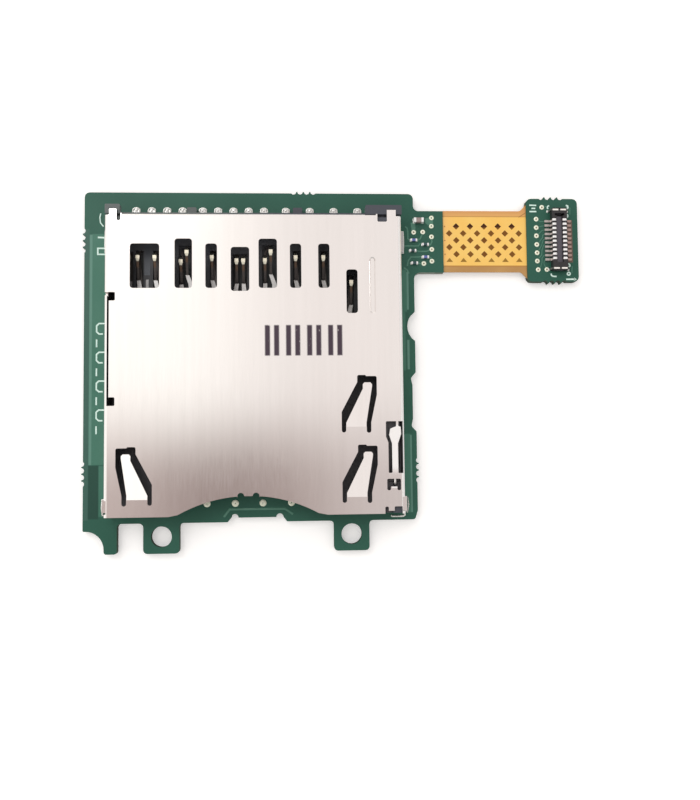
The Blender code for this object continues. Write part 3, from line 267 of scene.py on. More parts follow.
def under_tracks(shade):
    """1 on the guessed tracks of the underside, which jog twice."""
    first = shade.sum("MAXIMUM", shade.sum("MINIMUM", shade.y, -11), -12.4)
    second = shade.sum("MAXIMUM", shade.sum("MINIMUM", shade.y, -19), -21)
    jogged = shade.sum("ADD", shade.x, shade.sum("SUBTRACT", first, second))
    across = shade.sum("FRACT", shade.sum("DIVIDE", jogged, UNDER_TRACKS))
    field = shade.any(shade.area(3, -26, 26.5, -4), shade.area(29.5, -6.5, 40, -2.2))
    return shade.all(shade.band(across, 0.35, 0.62, 0.04), field, shade.fall(shade.facing[2], -0.6, -0.4))


def under_vias(shade, green):
    """Adds scattered via rings with dark middles to the underside."""
    under = shade.fall(shade.facing[2], -0.6, -0.4)
    cells = shade.node("ShaderNodeTexVoronoi", shade.place, None, 0.3, voronoi_dimensions="2D")
    reach = cells.outputs["Distance"]
    rings = shade.all(shade.band(reach, 0.035, 0.085, 0.012), under)
    holes = shade.all(shade.fall(reach, 0.03, 0.04), under)
    green = shade.mix(rings, green, (0.62, 0.64, 0.5))
    return shade.mix(holes, green, (0.03, 0.03, 0.025))


def laminate(shade, fibres):
    """Layers of glass cloth on the cut edges, with a painted highlight that makes the neck's front paler."""
    layers = shade.step(shade.wave(shade.z, LAYER), -0.5, 0.5)
    edge = shade.mix(layers, (0.035, 0.065, 0.045), (0.075, 0.1, 0.07))
    edge = shade.mix(fibres, edge, (0.04, 0.07, 0.05), 0.5)
    # Painted highlight: the neck's front face is painted paler
    lit_neck_front = shade.all(shade.area(29.9, -8.2, 32.7, -6.9), shade.fall(shade.facing[1], -0.8, -0.5))
    return shade.mix(lit_neck_front, edge, (0.3, 0.34, 0.3))


def solder_mask(name):
    """Green solder mask over woven glass and copper pours, with bare laminate on the edges."""
    shade = Shade(name, specular=0.28, coat=0.03)
    cloud = shade.noise(6.0, 3)
    fibres = shade.noise(0.12, 3, (1, 1, 3))
    cloth = shade.sum("MULTIPLY", shade.wave(shade.x, CLOTH), shade.wave(shade.y, CLOTH))
    margin = shade.area(-1, -29.6, 0.46, -3.4, 0.04)
    tracks = under_tracks(shade)
    side = shade.upright()
    pour_green = shade.mix(cloud, (0.045, 0.168, 0.118), (0.064, 0.195, 0.142))
    green = shade.mix(cloud, (0.018, 0.1, 0.068), (0.027, 0.12, 0.084))
    green = shade.mix(margin, green, (0.06, 0.135, 0.11), 0.6)
    green = shade.mix(shade.step(cloth, -1, 1, 0, 0.06), green, (0.05, 0.15, 0.1))
    green = board_top(shade, green, pour_green)
    green = under_vias(shade, shade.mix(tracks, green, pour_green))
    shade.colour(shade.mix(side, green, laminate(shade, fibres)))
    shade.set("Roughness", shade.step(side, 0, 1, 0.42, 0.85))
    threads = shade.sum("MULTIPLY", cloth, 0.15)
    lines = shade.sum("MULTIPLY", shade.any(tracks, fibres), 0.5)
    shade.bump(shade.sum("ADD", threads, lines), 0.3, 0.01)
    return shade.material


def masked_copper(name):
    """Copper seen through the solder mask."""
    shade = Shade(name, roughness=0.38, coat=0.1, specular=0.4)
    shade.colour(shade.mix(shade.noise(1.2, 3), (0.058, 0.19, 0.135), (0.085, 0.235, 0.17)))
    shade.bump(shade.noise(0.15, 2), 0.25, 0.006)
    return shade.material


def tinned(name, light=(0.97, 0.98, 0.96), dark=(0.66, 0.68, 0.65), roughness=0.18, metallic=0.7):
    """Solder and tinned copper, a little uneven."""
    shade = Shade(name, metallic=metallic)
    grain = shade.noise(0.18, 3)
    shade.colour(shade.mix(grain, light, dark))
    shade.set("Roughness", shade.step(grain, 0, 1, roughness, roughness + 0.22))
    shade.bump(shade.noise(0.25, 2), 0.4, 0.02)
    return shade.material


def printed(name):
    """White legend ink."""
    shade = Shade(name, roughness=0.55)
    shade.colour(shade.mix(shade.noise(0.12, 3), (0.6, 0.86, 0.78), (0.8, 0.98, 0.92)))
    shade.bump(shade.noise(0.08, 2), 0.3, 0.01)
    return shade.material


def dark_hole(name):
    """Plugged via middles, brown where the copper shows."""
    shade = Shade(name, roughness=0.6)
    shade.colour(shade.mix(shade.noise(0.3, 2), (0.13, 0.07, 0.045), (0.3, 0.2, 0.13)))
    shade.bump(shade.noise(0.06, 2), 0.4, 0.01)
    return shade.material


def cover_painted_shade(shade):
    """1 where the cover gets painted shade: its underside, its walls' inner faces, cut edges and right ledge.
    """
    inner_right = shade.all(
        shade.step(shade.x, COVER_RIGHT - 0.6, COVER_RIGHT - 0.5),
        shade.fall(shade.facing[0], -0.6, -0.2),
    )
    inner_left = shade.all(
        shade.fall(shade.x, COVER_LEFT + 0.5, COVER_LEFT + 0.6),
        shade.step(shade.facing[0], 0.2, 0.6),
    )
    cut_edges = shade.all(
        shade.fall(shade.z, COVER_TOP - 0.1, COVER_TOP - 0.05),
        shade.fall(shade.y, -6, -5),
        shade.band(shade.x, COVER_LEFT + 1, COVER_RIGHT - 0.3),
        shade.fall(shade.facing[2], 0.3, 0.6),
    )
    ledge = shade.all(
        shade.step(shade.x, COVER_RIGHT - 0.38, COVER_RIGHT - 0.35),
        shade.band(shade.z, 2.0, 3.2),
        shade.fall(shade.facing[0], 0.2, 0.3),
    )
    under = shade.fall(shade.facing[2], -0.5, -0.2)
    return shade.any(under, inner_right, inner_left, cut_edges, ledge)


def cover_painted_highlight(shade):
    """1 where the cover gets a painted highlight: its right bend, the latch leaf and the bar in front of it.
    """
    bend = shade.all(
        shade.fall(shade.x, COVER_RIGHT + 0.01, COVER_RIGHT + 0.05),
        shade.step(shade.x, COVER_RIGHT - 0.3, COVER_RIGHT - 0.22),
        shade.step(shade.facing[0], -0.2, -0.1),
    )
    latch = shade.all(
        shade.band(shade.x, 27.1, 28.3),
        shade.step(shade.y, -26.1, -25.0),
        shade.fall(shade.y, -21.5, -21.4),
        shade.upward(),
    )
    bar = shade.area(27.3, -27.0, 27.95, -26.8, 0.02)
    return shade.any(bend, latch, bar)


def stamp(shade):
    """1 on the ink stamp, a row of plain upright bars that are a little worn."""
    bars = []
    for i in range(PAIRS):
        for left in (STAMP_LEFT + i * PAIR_PITCH, STAMP_LEFT + i * PAIR_PITCH + BAR_PITCH):
            bars.append(shade.area(left, STAMP_FRONT, left + BAR_WIDTH, STAMP_REAR, 0.07))
    wear = shade.step(shade.noise(0.3, 3, (1, 0.7, 1)), -0.1, 0.12)
    return shade.all(shade.any(*bars), wear, shade.upward(0.7, 0.9))


def nickel(name):
    """Nickel-plated rolled sheet with a painted highlight on its bends and painted shade inside, and an ink
    stamp.
    """
    shade = Shade(name)
    streaks = shade.noise(0.5, 4, (1, 0.03, 1))
    fine = shade.noise(0.09, 2, (1, 0.05, 1))
    blotch = shade.noise(5.0, 3, (1, 0.6, 1))
    # white carries the painted highlight and dark the painted shade
    white = cover_painted_highlight(shade)
    dark = cover_painted_shade(shade)
    ink = stamp(shade)
    outside = shade.step(shade.x, COVER_RIGHT + 0.01, COVER_RIGHT + 0.05)
    rear_foot = shade.all(outside, shade.step(shade.y, -12, -11))
    metal = shade.mix(streaks, (0.925, 0.91, 0.9), (0.895, 0.88, 0.868))
    metal = shade.mix(blotch, metal, (0.94, 0.905, 0.89), 0.3)
    metal = shade.mix(rear_foot, metal, (0.4, 0.4, 0.4))
    # Painted highlight in white on the right bend, the latch leaf and the bar
    metal = shade.mix(white, metal, (1.0, 1.0, 1.0))
    # Painted shade in near-black on the cover's underside, inner faces, cut edges and ledge
    metal = shade.mix(dark, metal, (0.07, 0.067, 0.072))
    shade.colour(shade.mix(ink, metal, (0.05, 0.03, 0.05)))
    # The painted highlight and shade, like the ink, are made less metallic and rougher
    dull = shade.any(ink, shade.sum("MULTIPLY", shade.any(white, dark), 0.65))
    shade.set("Metallic", shade.step(dull, 0, 1, 1, 0.1))
    rough = shade.sum("ADD", shade.step(fine, 0, 1, 0.09, 0.12), shade.step(blotch, 0, 1, 0, 0.02))
    shade.set("Roughness", shade.sum("ADD", rough, shade.step(dull, 0, 1, 0, 0.3)))
    shade.bump(shade.sum("ADD", fine, streaks), 0.03, 0.002)
    return shade.material


def moulded(name):
    """Black moulded plastic with a fine eroded texture, in a painted-light copy where it lies open to the
    light and a darker painted-shade copy inside.
    """
    shade = Shade(name)
    speckle = shade.noise(0.07, 2)
    patch = shade.noise(2.0, 2)
    # Painted light: the parts open to the light, at the rear and the front right block, take the lit copy
    front_right = shade.all(
        shade.fall(shade.y, -28.4, -28.2),
        shade.step(shade.x, 27.2, 27.4),
        shade.step(shade.z, 2.6, 3.0),
    )
    outside = shade.any(shade.step(shade.y, -3.7, -3.5), front_right)
    lit_rib = shade.all(shade.area(5.43, -7.7, 5.95, -4.9, 0.04), shade.upward())
    glint = shade.all(shade.area(5.58, -9.5, 5.82, -8.1, 0.03), shade.upward())
    # The painted-shade copy for the inside, lifted by painted light towards the rear and at the leaf
    # openings, with painted highlights on a rib and a glint
    inner = shade.mix(patch, (0.042, 0.046, 0.055), (0.05, 0.055, 0.06))
    inner = shade.mix(shade.step(shade.y, -7.5, -5.5), inner, (0.15, 0.16, 0.18))
    inner = shade.mix(shade.fall(shade.y, -19.0, -18.0), inner, (0.075, 0.075, 0.083))
    inner = shade.mix(lit_rib, inner, (0.13, 0.15, 0.18))
    inner = shade.mix(glint, inner, (0.8, 0.8, 0.8))
    # The lit copy, lighter at the left and bluer at the right
    outer = shade.mix(shade.step(shade.x, 10, 20), (0.12, 0.145, 0.145), (0.06, 0.068, 0.09))
    body = shade.mix(outside, inner, outer)
    shade.colour(shade.mix(speckle, body, (0.05, 0.052, 0.058), 0.25))
    shade.set("Roughness", shade.step(speckle, 0, 1, 0.36, 0.55))
    shade.bump(speckle, 0.25, 0.01)
    return shade.material


def plug_plastic(name):
    """The connector's black plastic, with a painted sheen that makes the floor of its trough greyer."""
    shade = Shade(name)
    width = shade.band(shade.x, PLUG_MIDDLE - 0.29, PLUG_MIDDLE + 0.29)
    # Painted sheen on the trough's floor
    floor = shade.all(width, shade.band(shade.z, 1.1, 1.26, 0.04))
    speckle = shade.noise(0.05, 2)
    body = shade.mix(speckle, (0.012, 0.011, 0.013), (0.03, 0.028, 0.032))
    shade.colour(shade.mix(floor, body, (0.115, 0.11, 0.135)))
    shade.set("Roughness", shade.step(speckle, 0, 1, 0.32, 0.5))
    shade.bump(speckle, 0.2, 0.005)
    return shade.material


def contact_metal(name):
    """Copper alloy: pale gold at the wiping tip, reddish behind it, near-black as painted shade on the arm,
    tinned at its ends.
    """
    shade = Shade(name)
    grain = shade.noise(0.08, 2)
    # Painted shade: the arm is coloured near-black for the dark of the windows it lies in
    dull = shade.mix(grain, (0.075, 0.07, 0.07), (0.12, 0.11, 0.105))
    neck = shade.band(shade.z, 1.8, 1.96, 0.04)
    dull = shade.mix(neck, dull, (0.2, 0.115, 0.06), 0.5)
    silver = shade.mix(grain, (0.6, 0.6, 0.6), (0.72, 0.72, 0.71))
    gold = shade.mix(grain, (1.0, 0.96, 0.74), (1.0, 0.99, 0.88))
    root = shade.band(shade.z, 1.25, 1.44, 0.02)
    tail = shade.step(shade.y, COVER_REAR - 0.3, COVER_REAR)
    tip = shade.step(shade.z, 1.96, 2.0)
    shade.colour(shade.mix(tip, shade.mix(shade.any(root, tail), dull, silver), gold))
    shade.set("Metallic", shade.step(tip, 0, 1, 0.9, 1))
    shade.set("Roughness", shade.step(tip, 0, 1, 0.4, 0.3))
    shade.bump(grain, 0.15, 0.004)
    return shade.material


def plug_pin_metal(name):
    """Gold-flashed contacts, with a painted highlight in white over the rim and feet in painted shade that
    looks brown at the right.
    """
    shade = Shade(name)
    grain = shade.noise(0.06, 2)
    # Painted shade on the feet, greyer at the left and browner at the right
    feet = shade.mix(shade.step(shade.x, 43.3, 43.5), (0.62, 0.58, 0.56), (0.5, 0.36, 0.32))
    feet = shade.mix(grain, feet, (0.2, 0.16, 0.14), 0.4)
    # Painted highlight in white over the rim
    rim = shade.mix(grain, (1.0, 1.0, 1.0), (0.97, 0.99, 1.0))
    high = shade.step(shade.z, 1.44, 1.52)
    shade.colour(shade.mix(high, feet, rim))
    shade.set("Metallic", shade.step(high, 0, 1, 0.9, 0.3))
    shade.set("Roughness", shade.step(high, 0, 1, 0.35, 0.25))
    shade.bump(grain, 0.15, 0.003)
    return shade.material


def nail_metal(name):
    """The plug's nails: two bars over the rim in painted highlight, and near-black painted shade at the
    middle and ends.
    """
    shade = Shade(name)
    grain = shade.noise(0.06, 2)
    across = shade.sum("ABSOLUTE", shade.sum("SUBTRACT", shade.x, PLUG_MIDDLE))
    # Painted highlight on the two bars and painted shade elsewhere
    bars = shade.all(shade.band(across, 0.09, 0.63, 0.03), shade.upward(0.5, 0.7))
    bright = shade.mix(grain, (1.0, 1.0, 0.98), (1.0, 0.98, 0.9))
    dull = shade.mix(grain, (0.035, 0.045, 0.042), (0.06, 0.07, 0.066))
    shade.colour(shade.mix(bars, dull, bright))
    shade.set("Metallic", shade.step(bars, 0, 1, 0.2, 0.4))
    shade.set("Roughness", shade.step(grain, 0, 1, 0.25, 0.35))
    shade.bump(grain, 0.15, 0.003)
    return shade.material


def drawn_wire(name):
    """Drawn spring wire."""
    shade = Shade(name, metallic=1.0)
    grain = shade.noise(0.1, 3)
    shade.colour(shade.mix(grain, (0.95, 0.94, 0.92), (0.7, 0.69, 0.67)))
    shade.set("Roughness", shade.step(grain, 0, 1, 0.2, 0.36))
    shade.bump(grain, 0.15, 0.004)
    return shade.material


def film(name):
    """Amber film over hatched copper: brown in the hatching, with a stained band along each edge."""
    shade = Shade(name, coat=0.15)
    cloud = shade.noise(2.6, 3)
    fine = shade.noise(0.12, 2, (0.15, 1, 1))
    gold = shade.mix(cloud, (1.0, 0.6, 0.13), (1.0, 0.69, 0.19))
    gold = shade.mix(fine, gold, (0.92, 0.5, 0.1), 0.12)
    left = shade.fall(shade.x, 32.5, 34.0)
    gold = shade.mix(left, gold, (1.0, 0.53, 0.2), 0.5)
    rear = shade.mix(shade.step(shade.y, -1.95, -1.6), (0.78, 0.42, 0.13), (0.72, 0.36, 0.12))
    gold = shade.mix(shade.step(shade.y, -2.07, -2.01), gold, rear)
    borders = shade.any(shade.band(shade.y, -2.1, -2.03, 0.02), shade.band(shade.y, -6.78, -6.66, 0.025))
    front = shade.mix(cloud, (0.46, 0.24, 0.075), (0.58, 0.33, 0.11))
    gold = shade.mix(shade.fall(shade.y, -6.78, -6.7), gold, front)
    gold = shade.mix(borders, gold, (0.42, 0.17, 0.03), 0.75)
    along = shade.sum("MULTIPLY_ADD", shade.x, -0.64, shade.y)
    # Painted shade along a crease across the film's right end
    crease_shade = shade.all(shade.band(along, -27.66, -27.57, 0.03), shade.band(shade.x, 39.85, 40.5, 0.05))
    gold = shade.mix(crease_shade, gold, (0.35, 0.14, 0.03), 0.8)
    top = shade.upward(0.7, 0.9)
    sunk = shade.all(top, shade.fall(shade.z, FILM_TOP - 0.02, FILM_TOP - 0.01))
    spots = shade.noise(0.9, 2)
    brown = shade.mix(spots, (0.2, 0.075, 0.012), (0.3, 0.15, 0.03), 0.5)
    brown = shade.mix(shade.step(shade.y, -3.2, -2.95), brown, (0.06, 0.018, 0.006))
    brown = shade.mix(shade.fall(shade.y, -5.95, -5.8), brown, (0.36, 0.2, 0.035))
    gold = shade.mix(sunk, gold, brown)
    dots = [shade.area(32.8, y - 0.06, 32.93, y + 0.06, 0.04) for y in (-3.0, -4.31, -5.61)]
    gold = shade.mix(shade.all(shade.any(*dots), top), gold, (0.35, 0.13, 0.03), 0.8)
    # Painted shade where the film meets the neck's edge
    start = shade.all(shade.fall(shade.x, 32.66, 32.72), top)
    gold = shade.mix(start, gold, (0.4, 0.2, 0.06), 0.6)
    shade.colour(shade.mix(shade.upright(), gold, (0.5, 0.28, 0.09)))
    shade.set("Specular IOR Level", shade.step(sunk, 0, 1, 0.4, 0.1))
    shade.set("Roughness", shade.step(fine, 0, 1, 0.3, 0.42))
    shade.bump(shade.sum("ADD", fine, shade.sum("MULTIPLY", cloud, 3)), 0.15, 0.005)
    return shade.material


def ceramic(name, node, body_light, body_dark):
    """A small ceramic part: tinned caps at both ends and a coloured body between."""
    low, high = bench_box(node)
    half = (high.x - low.x) / 2
    shade = Shade(name)
    along = shade.sum("ABSOLUTE", shade.sum("SUBTRACT", shade.x, low.x + half))
    cap = shade.step(along, half * 0.5, half * 0.56)
    grain = shade.noise(0.07, 3)
    body = shade.mix(grain, body_light, body_dark)
    tin = shade.mix(grain, (1.0, 1.0, 1.0), (0.85, 0.88, 0.9))
    shade.colour(shade.mix(cap, body, tin))
    shade.set("Metallic", shade.step(cap, 0, 1, 0, 0.3))
    shade.set("Roughness", shade.step(grain, 0, 1, 0.25, 0.45))
    shade.bump(grain, 0.25, 0.008)
    return shade.material


def dress(node, made):
    """Gives a node of the frame its material."""
    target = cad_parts[node]
    target.data.materials.clear()
    target.data.materials.append(made)


def soften(node, width):
    """Breaks a node's sharp edges, as a modifier on top of its own mesh."""
    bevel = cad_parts[node].modifiers.new("edges", "BEVEL")
    bevel.width = width * MM
    bevel.segments = 2
    bevel.limit_method = "ANGLE"
    bevel.angle_limit = SHARP
    bevel.harden_normals = False


def piece(name, fill, made, body="board"):
    """Makes a piece that rides on a body, from a function that fills its mesh in bench millimetres."""
    build = bmesh.new()
    fill(build)
    bmesh.ops.recalc_face_normals(build, faces=build.faces)
    data = bpy.data.meshes.new(name)
    build.to_mesh(data)
    build.free()
    data.transform(Matrix.Scale(MM, 4) @ Matrix.Translation(-BENCH))
    data.materials.append(made)
    data.shade_smooth()
    data.set_sharp_from_angle(angle=SHARP)
    thing = bpy.data.objects.new(name, data)
    bpy.context.scene.collection.objects.link(thing)
    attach(thing, body)


def plate(mesh, outline, low, high):
    """Adds a flat plate with the given outline."""
    rings = [[mesh.verts.new((x, y, z)) for x, y in outline] for z in (low, high)]
    mesh.faces.new(rings[0])
    mesh.faces.new(rings[1])
    for i in range(len(outline)):
        j = (i + 1) % len(outline)
        mesh.faces.new((rings[0][i], rings[0][j], rings[1][j], rings[1][i]))


def circle(x, y, radius, count, start=0.0, end=360.0):
    """Points round a circle, or along a part of it."""
    whole = end - start >= 360
    turns = [math.radians(start + (end - start) * i / (count if whole else count - 1)) for i in range(count)]
    return [(x + radius * math.cos(t), y + radius * math.sin(t)) for t in turns]


def oval(x0, y0, x1, y1, radius):
    """A rectangle's outline with round corners."""
    points = []
    corners = ((x1, y1, 0), (x0, y1, 90), (x0, y0, 180), (x1, y0, 270))
    for x, y, start in corners:
        inner_x = x - radius if x == x1 else x + radius
        inner_y = y - radius if y == y1 else y + radius
        points += circle(inner_x, inner_y, radius, 4, start, start + 90)
    return points


def washer(mesh, x, y, outer, inner, low, high):
    """Adds a ring that is rounded over its top."""
    count = 24
    section = [(inner, low), (inner, high - 0.006), (inner + 0.02, high), (outer - 0.03, high), (outer, low)]
    rings = [[mesh.verts.new((*point, z)) for point in circle(x, y, radius, count)] for radius, z in section]
    for first, second in zip(rings, rings[1:] + rings[:1]):
        for i in range(count):
            j = (i + 1) % count
            mesh.faces.new((first[i], first[j], second[j], second[i]))


def skin(mesh, rings):
    """Closes a row of rings into one solid."""
    mesh.faces.new(rings[0])
    mesh.faces.new(rings[-1])
    for first, second in zip(rings, rings[1:]):
        for i in range(len(first)):
            j = (i + 1) % len(first)
            mesh.faces.new((first[i], first[j], second[j], second[i]))


def headings(path):
    """Each point of a path, with the way on to the next point and the mean heading at the corner."""
    points = [Vector(point) for point in path]
    for i, here in enumerate(points):
        back = (here - points[i - 1]).normalized() if i else None
        ahead = (points[i + 1] - here).normalized() if i + 1 < len(points) else back
        back = back or ahead
        yield here, ahead, (back + ahead).normalized()


def track(mesh, path, width, low, high):
    """Adds a flat track along points (x, y), a little narrower at its top."""
    rings = []
    for here, ahead, heading in headings(path):
        side = Vector((-heading.y, heading.x)) * width / 2 / max(heading.dot(ahead), 0.6)
        slim = side * 0.85
        corners = ((here - side, low), (here + side, low), (here + slim, high), (here - slim, high))
        rings.append([mesh.verts.new((spot.x, spot.y, z)) for spot, z in corners])
    skin(mesh, rings)


def bead(mesh, path, radius):
    """Adds a soft bead of solder along points (x, y, z), thinner at both ends."""
    sides = 10
    turns = [2 * math.pi * k / sides for k in range(sides)]
    rings = []
    for i, (here, _, heading) in enumerate(headings(path)):
        side = heading.cross(Vector((0, 0, 1))).normalized()
        up = side.cross(heading)
        size = radius * (0.55 if i in (0, len(path) - 1) else 1)
        rings.append([mesh.verts.new(here + size * (side * math.cos(t) + up * math.sin(t))) for t in turns])
    skin(mesh, rings)


def mound(mesh, x, y, z, radius_x, radius_y, height):
    """Adds a low dome of solder."""
    steps = 5
    count = 16
    turns = [2 * math.pi * k / count for k in range(count)]
    rings = []
    for i in range(steps + 1):
        rise = math.pi / 2 * i / steps * 0.96
        wide = radius_x * math.cos(rise)
        deep = radius_y * math.cos(rise)
        level = z + height * math.sin(rise)
        rings.append([mesh.verts.new((x + wide * math.cos(t), y + deep * math.sin(t), level)) for t in turns])
    skin(mesh, rings)


def camera():
    """The photo's viewpoint, nearly straight above the board."""
    data = bpy.data.cameras.new("camera")
    data.sensor_width = SENSOR
    data.lens = CAMERA_FOCAL / PHOTO_HEIGHT * data.sensor_width
    data.clip_start = 0.001
    data.clip_end = 10
    made = bpy.data.objects.new("camera", data)
    bpy.context.scene.collection.objects.link(made)
    turn = Vector(CAMERA_TURN)
    facing = Matrix.Rotation(math.radians(turn.length), 3, turn).transposed()
    made.matrix_world = Matrix.Translation(at(*CAMERA_PLACE)) @ facing.to_4x4()
    bpy.context.scene.camera = made


def floor():
    """A plain white floor that keeps the part's soft shadow and looks white to the camera."""
    bpy.ops.mesh.primitive_plane_add(size=1.6, location=(0, 0, -0.0001))
    made = bpy.context.object
    made.name = "floor"
    paint = bpy.data.materials.new("floor")
    paint.use_nodes = True
    tree = paint.node_tree
    shader = tree.nodes["Principled BSDF"]
    shader.inputs["Base Color"].default_value = (0.88, 0.88, 0.88, 1)
    shader.inputs["Roughness"].default_value = 0.9
    shader.inputs["Specular IOR Level"].default_value = 0.1
    shader.inputs["Emission Color"].default_value = (1, 1, 1, 1)
    rays = tree.nodes.new("ShaderNodeLightPath")
    seen = tree.nodes.new("ShaderNodeMath")
    seen.operation = "MULTIPLY"
    seen.inputs[1].default_value = FLOOR_GLOW
    tree.links.new(rays.outputs["Is Camera Ray"], seen.inputs[0])
    tree.links.new(seen.outputs[0], shader.inputs["Emission Strength"])
    made.data.materials.append(paint)


def sky():
    """A soft white sky, brightest at the left, with the dim warm patch that the cover mirrors in front."""
    world = bpy.data.worlds.new("world")
    world.use_nodes = True
    graph = Graph(world.node_tree)
    heading = graph.node("ShaderNodeTexCoord").outputs["Generated"]
    across, along, up = graph.node("ShaderNodeSeparateXYZ", heading).outputs
    near = graph.mix(graph.step(across, -0.15, 0.02), (1.18, 1.14, 1.09), (0.93, 0.865, 0.835))
    near = graph.mix(graph.step(across, 0.2, 0.8), near, (0.62, 0.6, 0.58))
    near = graph.mix(graph.fall(along, -0.8, -0.3), near, (0.6, 0.58, 0.56))
    middle = graph.sum("ABSOLUTE", graph.sum("ADD", across, 0.07))
    outer = graph.mix(graph.step(across, -0.05, 0.12), (0.565, 0.465, 0.44), (0.63, 0.56, 0.54))
    dim = graph.mix(graph.step(middle, 0.0, 0.15), (0.31, 0.237, 0.222), outer)
    patch = graph.all(
        graph.fall(along, -0.03, 0.08),
        graph.step(along, -0.45, -0.2),
        graph.fall(middle, 0.3, 0.6),
        graph.step(up, 0.5, 0.7),
    )
    near = graph.mix(patch, near, dim)
    back = world.node_tree.nodes["Background"]
    graph.feed(back.inputs["Color"], near)
    white = graph.node("ShaderNodeBackground", (1.0, 1.0, 1.0))
    rays = graph.node("ShaderNodeLightPath")
    pick = graph.node("ShaderNodeMixShader", rays.outputs["Is Camera Ray"], back.outputs[0], white.outputs[0])
    graph.feed(world.node_tree.nodes["World Output"].inputs["Surface"], pick.outputs[0])
    bpy.context.scene.world = world


def lamp():
    """One broad soft lamp from the rear left."""
    data = bpy.data.lights.new("lamp", "AREA")
    data.energy = 0.15
    data.size = 0.12
    made = bpy.data.objects.new("lamp", data)
    made.location = (-0.12, 0.14, 0.3)
    made.rotation_euler = (-made.location).to_track_quat("-Z", "Y").to_euler()
    bpy.context.scene.collection.objects.link(made)


NECK_VIAS = [
    (31.63, -2.25), (31.61, -3.01), (29.96, -3.59), (30.8, -3.57), (31.61, -4.02), (31.62, -5.19),
    (31.61, -6.29), (30.86, -6.51),
]
PLUG_VIAS = [
    (42.03, -1.2), (41.47, -2.32), (41.46, -3.12), (41.46, -3.89), (41.48, -4.71), (41.49, -5.49),
    (41.49, -6.27), (41.55, -7.08), (42.37, -7.06),
]


def via_rings(mesh):
    """Tinned rings round the vias."""
    for x, y in NECK_VIAS + PLUG_VIAS:
        washer(mesh, x, y, 0.22, 0.075, BOARD_TOP, BOARD_TOP + PAD)


def via_middles(mesh):
    """The vias' plugged middles."""
    for x, y in NECK_VIAS + PLUG_VIAS:
        plate(mesh, circle(x, y, 0.078, 14), BOARD_TOP, BOARD_TOP + PAD * 0.5)


def main_tracks(mesh):
    """Copper under the mask on the main board and its neck."""
    low = BOARD_TOP
    high = BOARD_TOP + COPPER
    lines = [
        [(29.16, -3.06), (29.34, -3.2), (29.41, -3.49), (29.41, -4.17), (29.53, -4.33)],
        [(30.79, -3.7), (30.57, -4.17), (30.39, -4.31), (30.2, -4.3)],
        [(28.9, -4.87), (30.37, -4.87), (30.55, -4.66), (30.75, -4.6)],
        [(31.61, -4.15), (31.64, -4.49), (31.5, -4.76), (31.3, -4.74)],
        [(30.15, -5.32), (30.48, -5.39), (31.13, -5.37), (31.5, -5.22)],
        [(29.32, -6.75), (29.43, -6.22), (29.69, -5.9), (30.51, -5.9), (30.7, -5.84)],
        [(31.3, -5.86), (31.51, -5.97), (31.6, -6.2)],
        [(30.3, -6.46), (30.53, -6.52), (30.75, -6.51)],
        [(29.0, -6.9), (29.31, -7.12), (29.45, -7.45)],
    ]
    for line in lines:
        track(mesh, line, 0.13, low, high)
    plate(mesh, [(29.7, -2.7), (30.12, -2.7), (30.12, -3.5), (29.76, -3.5)], low, high)
    wide_pad = [(31.05, -2.3), (31.5, -2.2), (31.78, -2.2), (31.78, -3.0), (31.45, -3.05), (31.05, -2.72)]
    plate(mesh, wide_pad, low, high)
    track(mesh, [(12.46, -29.47), (12.96, -28.8), (17.91, -28.8), (18.63, -29.3)], 0.2, low, high)


def plug_tracks(mesh):
    """Copper under the mask on the plug board."""
    low = BOARD_TOP
    high = BOARD_TOP + COPPER
    lines = [
        [(41.6, -2.4), (41.87, -2.56), (42.32, -2.54)],
        [(41.6, -3.08), (42.01, -2.97), (42.31, -2.94)],
        [(41.6, -3.78), (42.0, -3.39), (42.3, -3.33)],
        [(41.6, -4.6), (42.0, -4.11), (42.06, -3.83), (42.31, -3.73)],
        [(41.6, -5.35), (41.91, -4.81), (42.07, -4.31), (42.33, -4.13)],
        [(41.55, -6.1), (41.91, -5.7), (41.95, -5.21), (42.11, -4.81), (42.34, -4.53)],
        [(41.7, -7.0), (41.92, -6.44), (41.93, -6.0), (42.11, -5.75), (42.36, -5.73)],
        [(42.3, -7.0), (42.09, -6.49), (42.17, -6.2), (42.37, -6.13)],
        [(42.1, -1.2), (42.32, -1.13), (42.6, -1.1)],
        [(42.55, -1.42), (42.74, -1.72), (42.78, -1.87)],
        [(44.7, -1.2), (44.68, -1.9)],
        [(44.75, -6.75), (44.72, -7.4)],
    ]
    for line in lines:
        track(mesh, line, 0.075, low, high)


def main_legend(mesh):
    """Plain legend marks in place of the words on the left strip."""
    low = BOARD_TOP
    high = BOARD_TOP + SILK
    for i in range(4):
        y = -12.0 - i * 2.6
        hook = [(1.95, y), (1.35, y), (1.14, y - 0.2), (1.14, y - 0.75), (1.35, y - 0.95), (1.7, y - 0.95)]
        track(mesh, hook, 0.14, low, high)
        track(mesh, [(1.14, y - 1.45), (1.14, y - 2.15)], 0.14, low, high)
    track(mesh, [(1.45, -1.95), (1.37, -2.3), (1.42, -2.8), (1.7, -3.15)], 0.11, low, high)
    track(mesh, [(1.2, -4.15), (1.95, -4.18)], 0.16, low, high)
    track(mesh, [(1.9, -5.15), (1.2, -5.15), (1.2, -5.7), (1.9, -5.7)], 0.14, low, high)


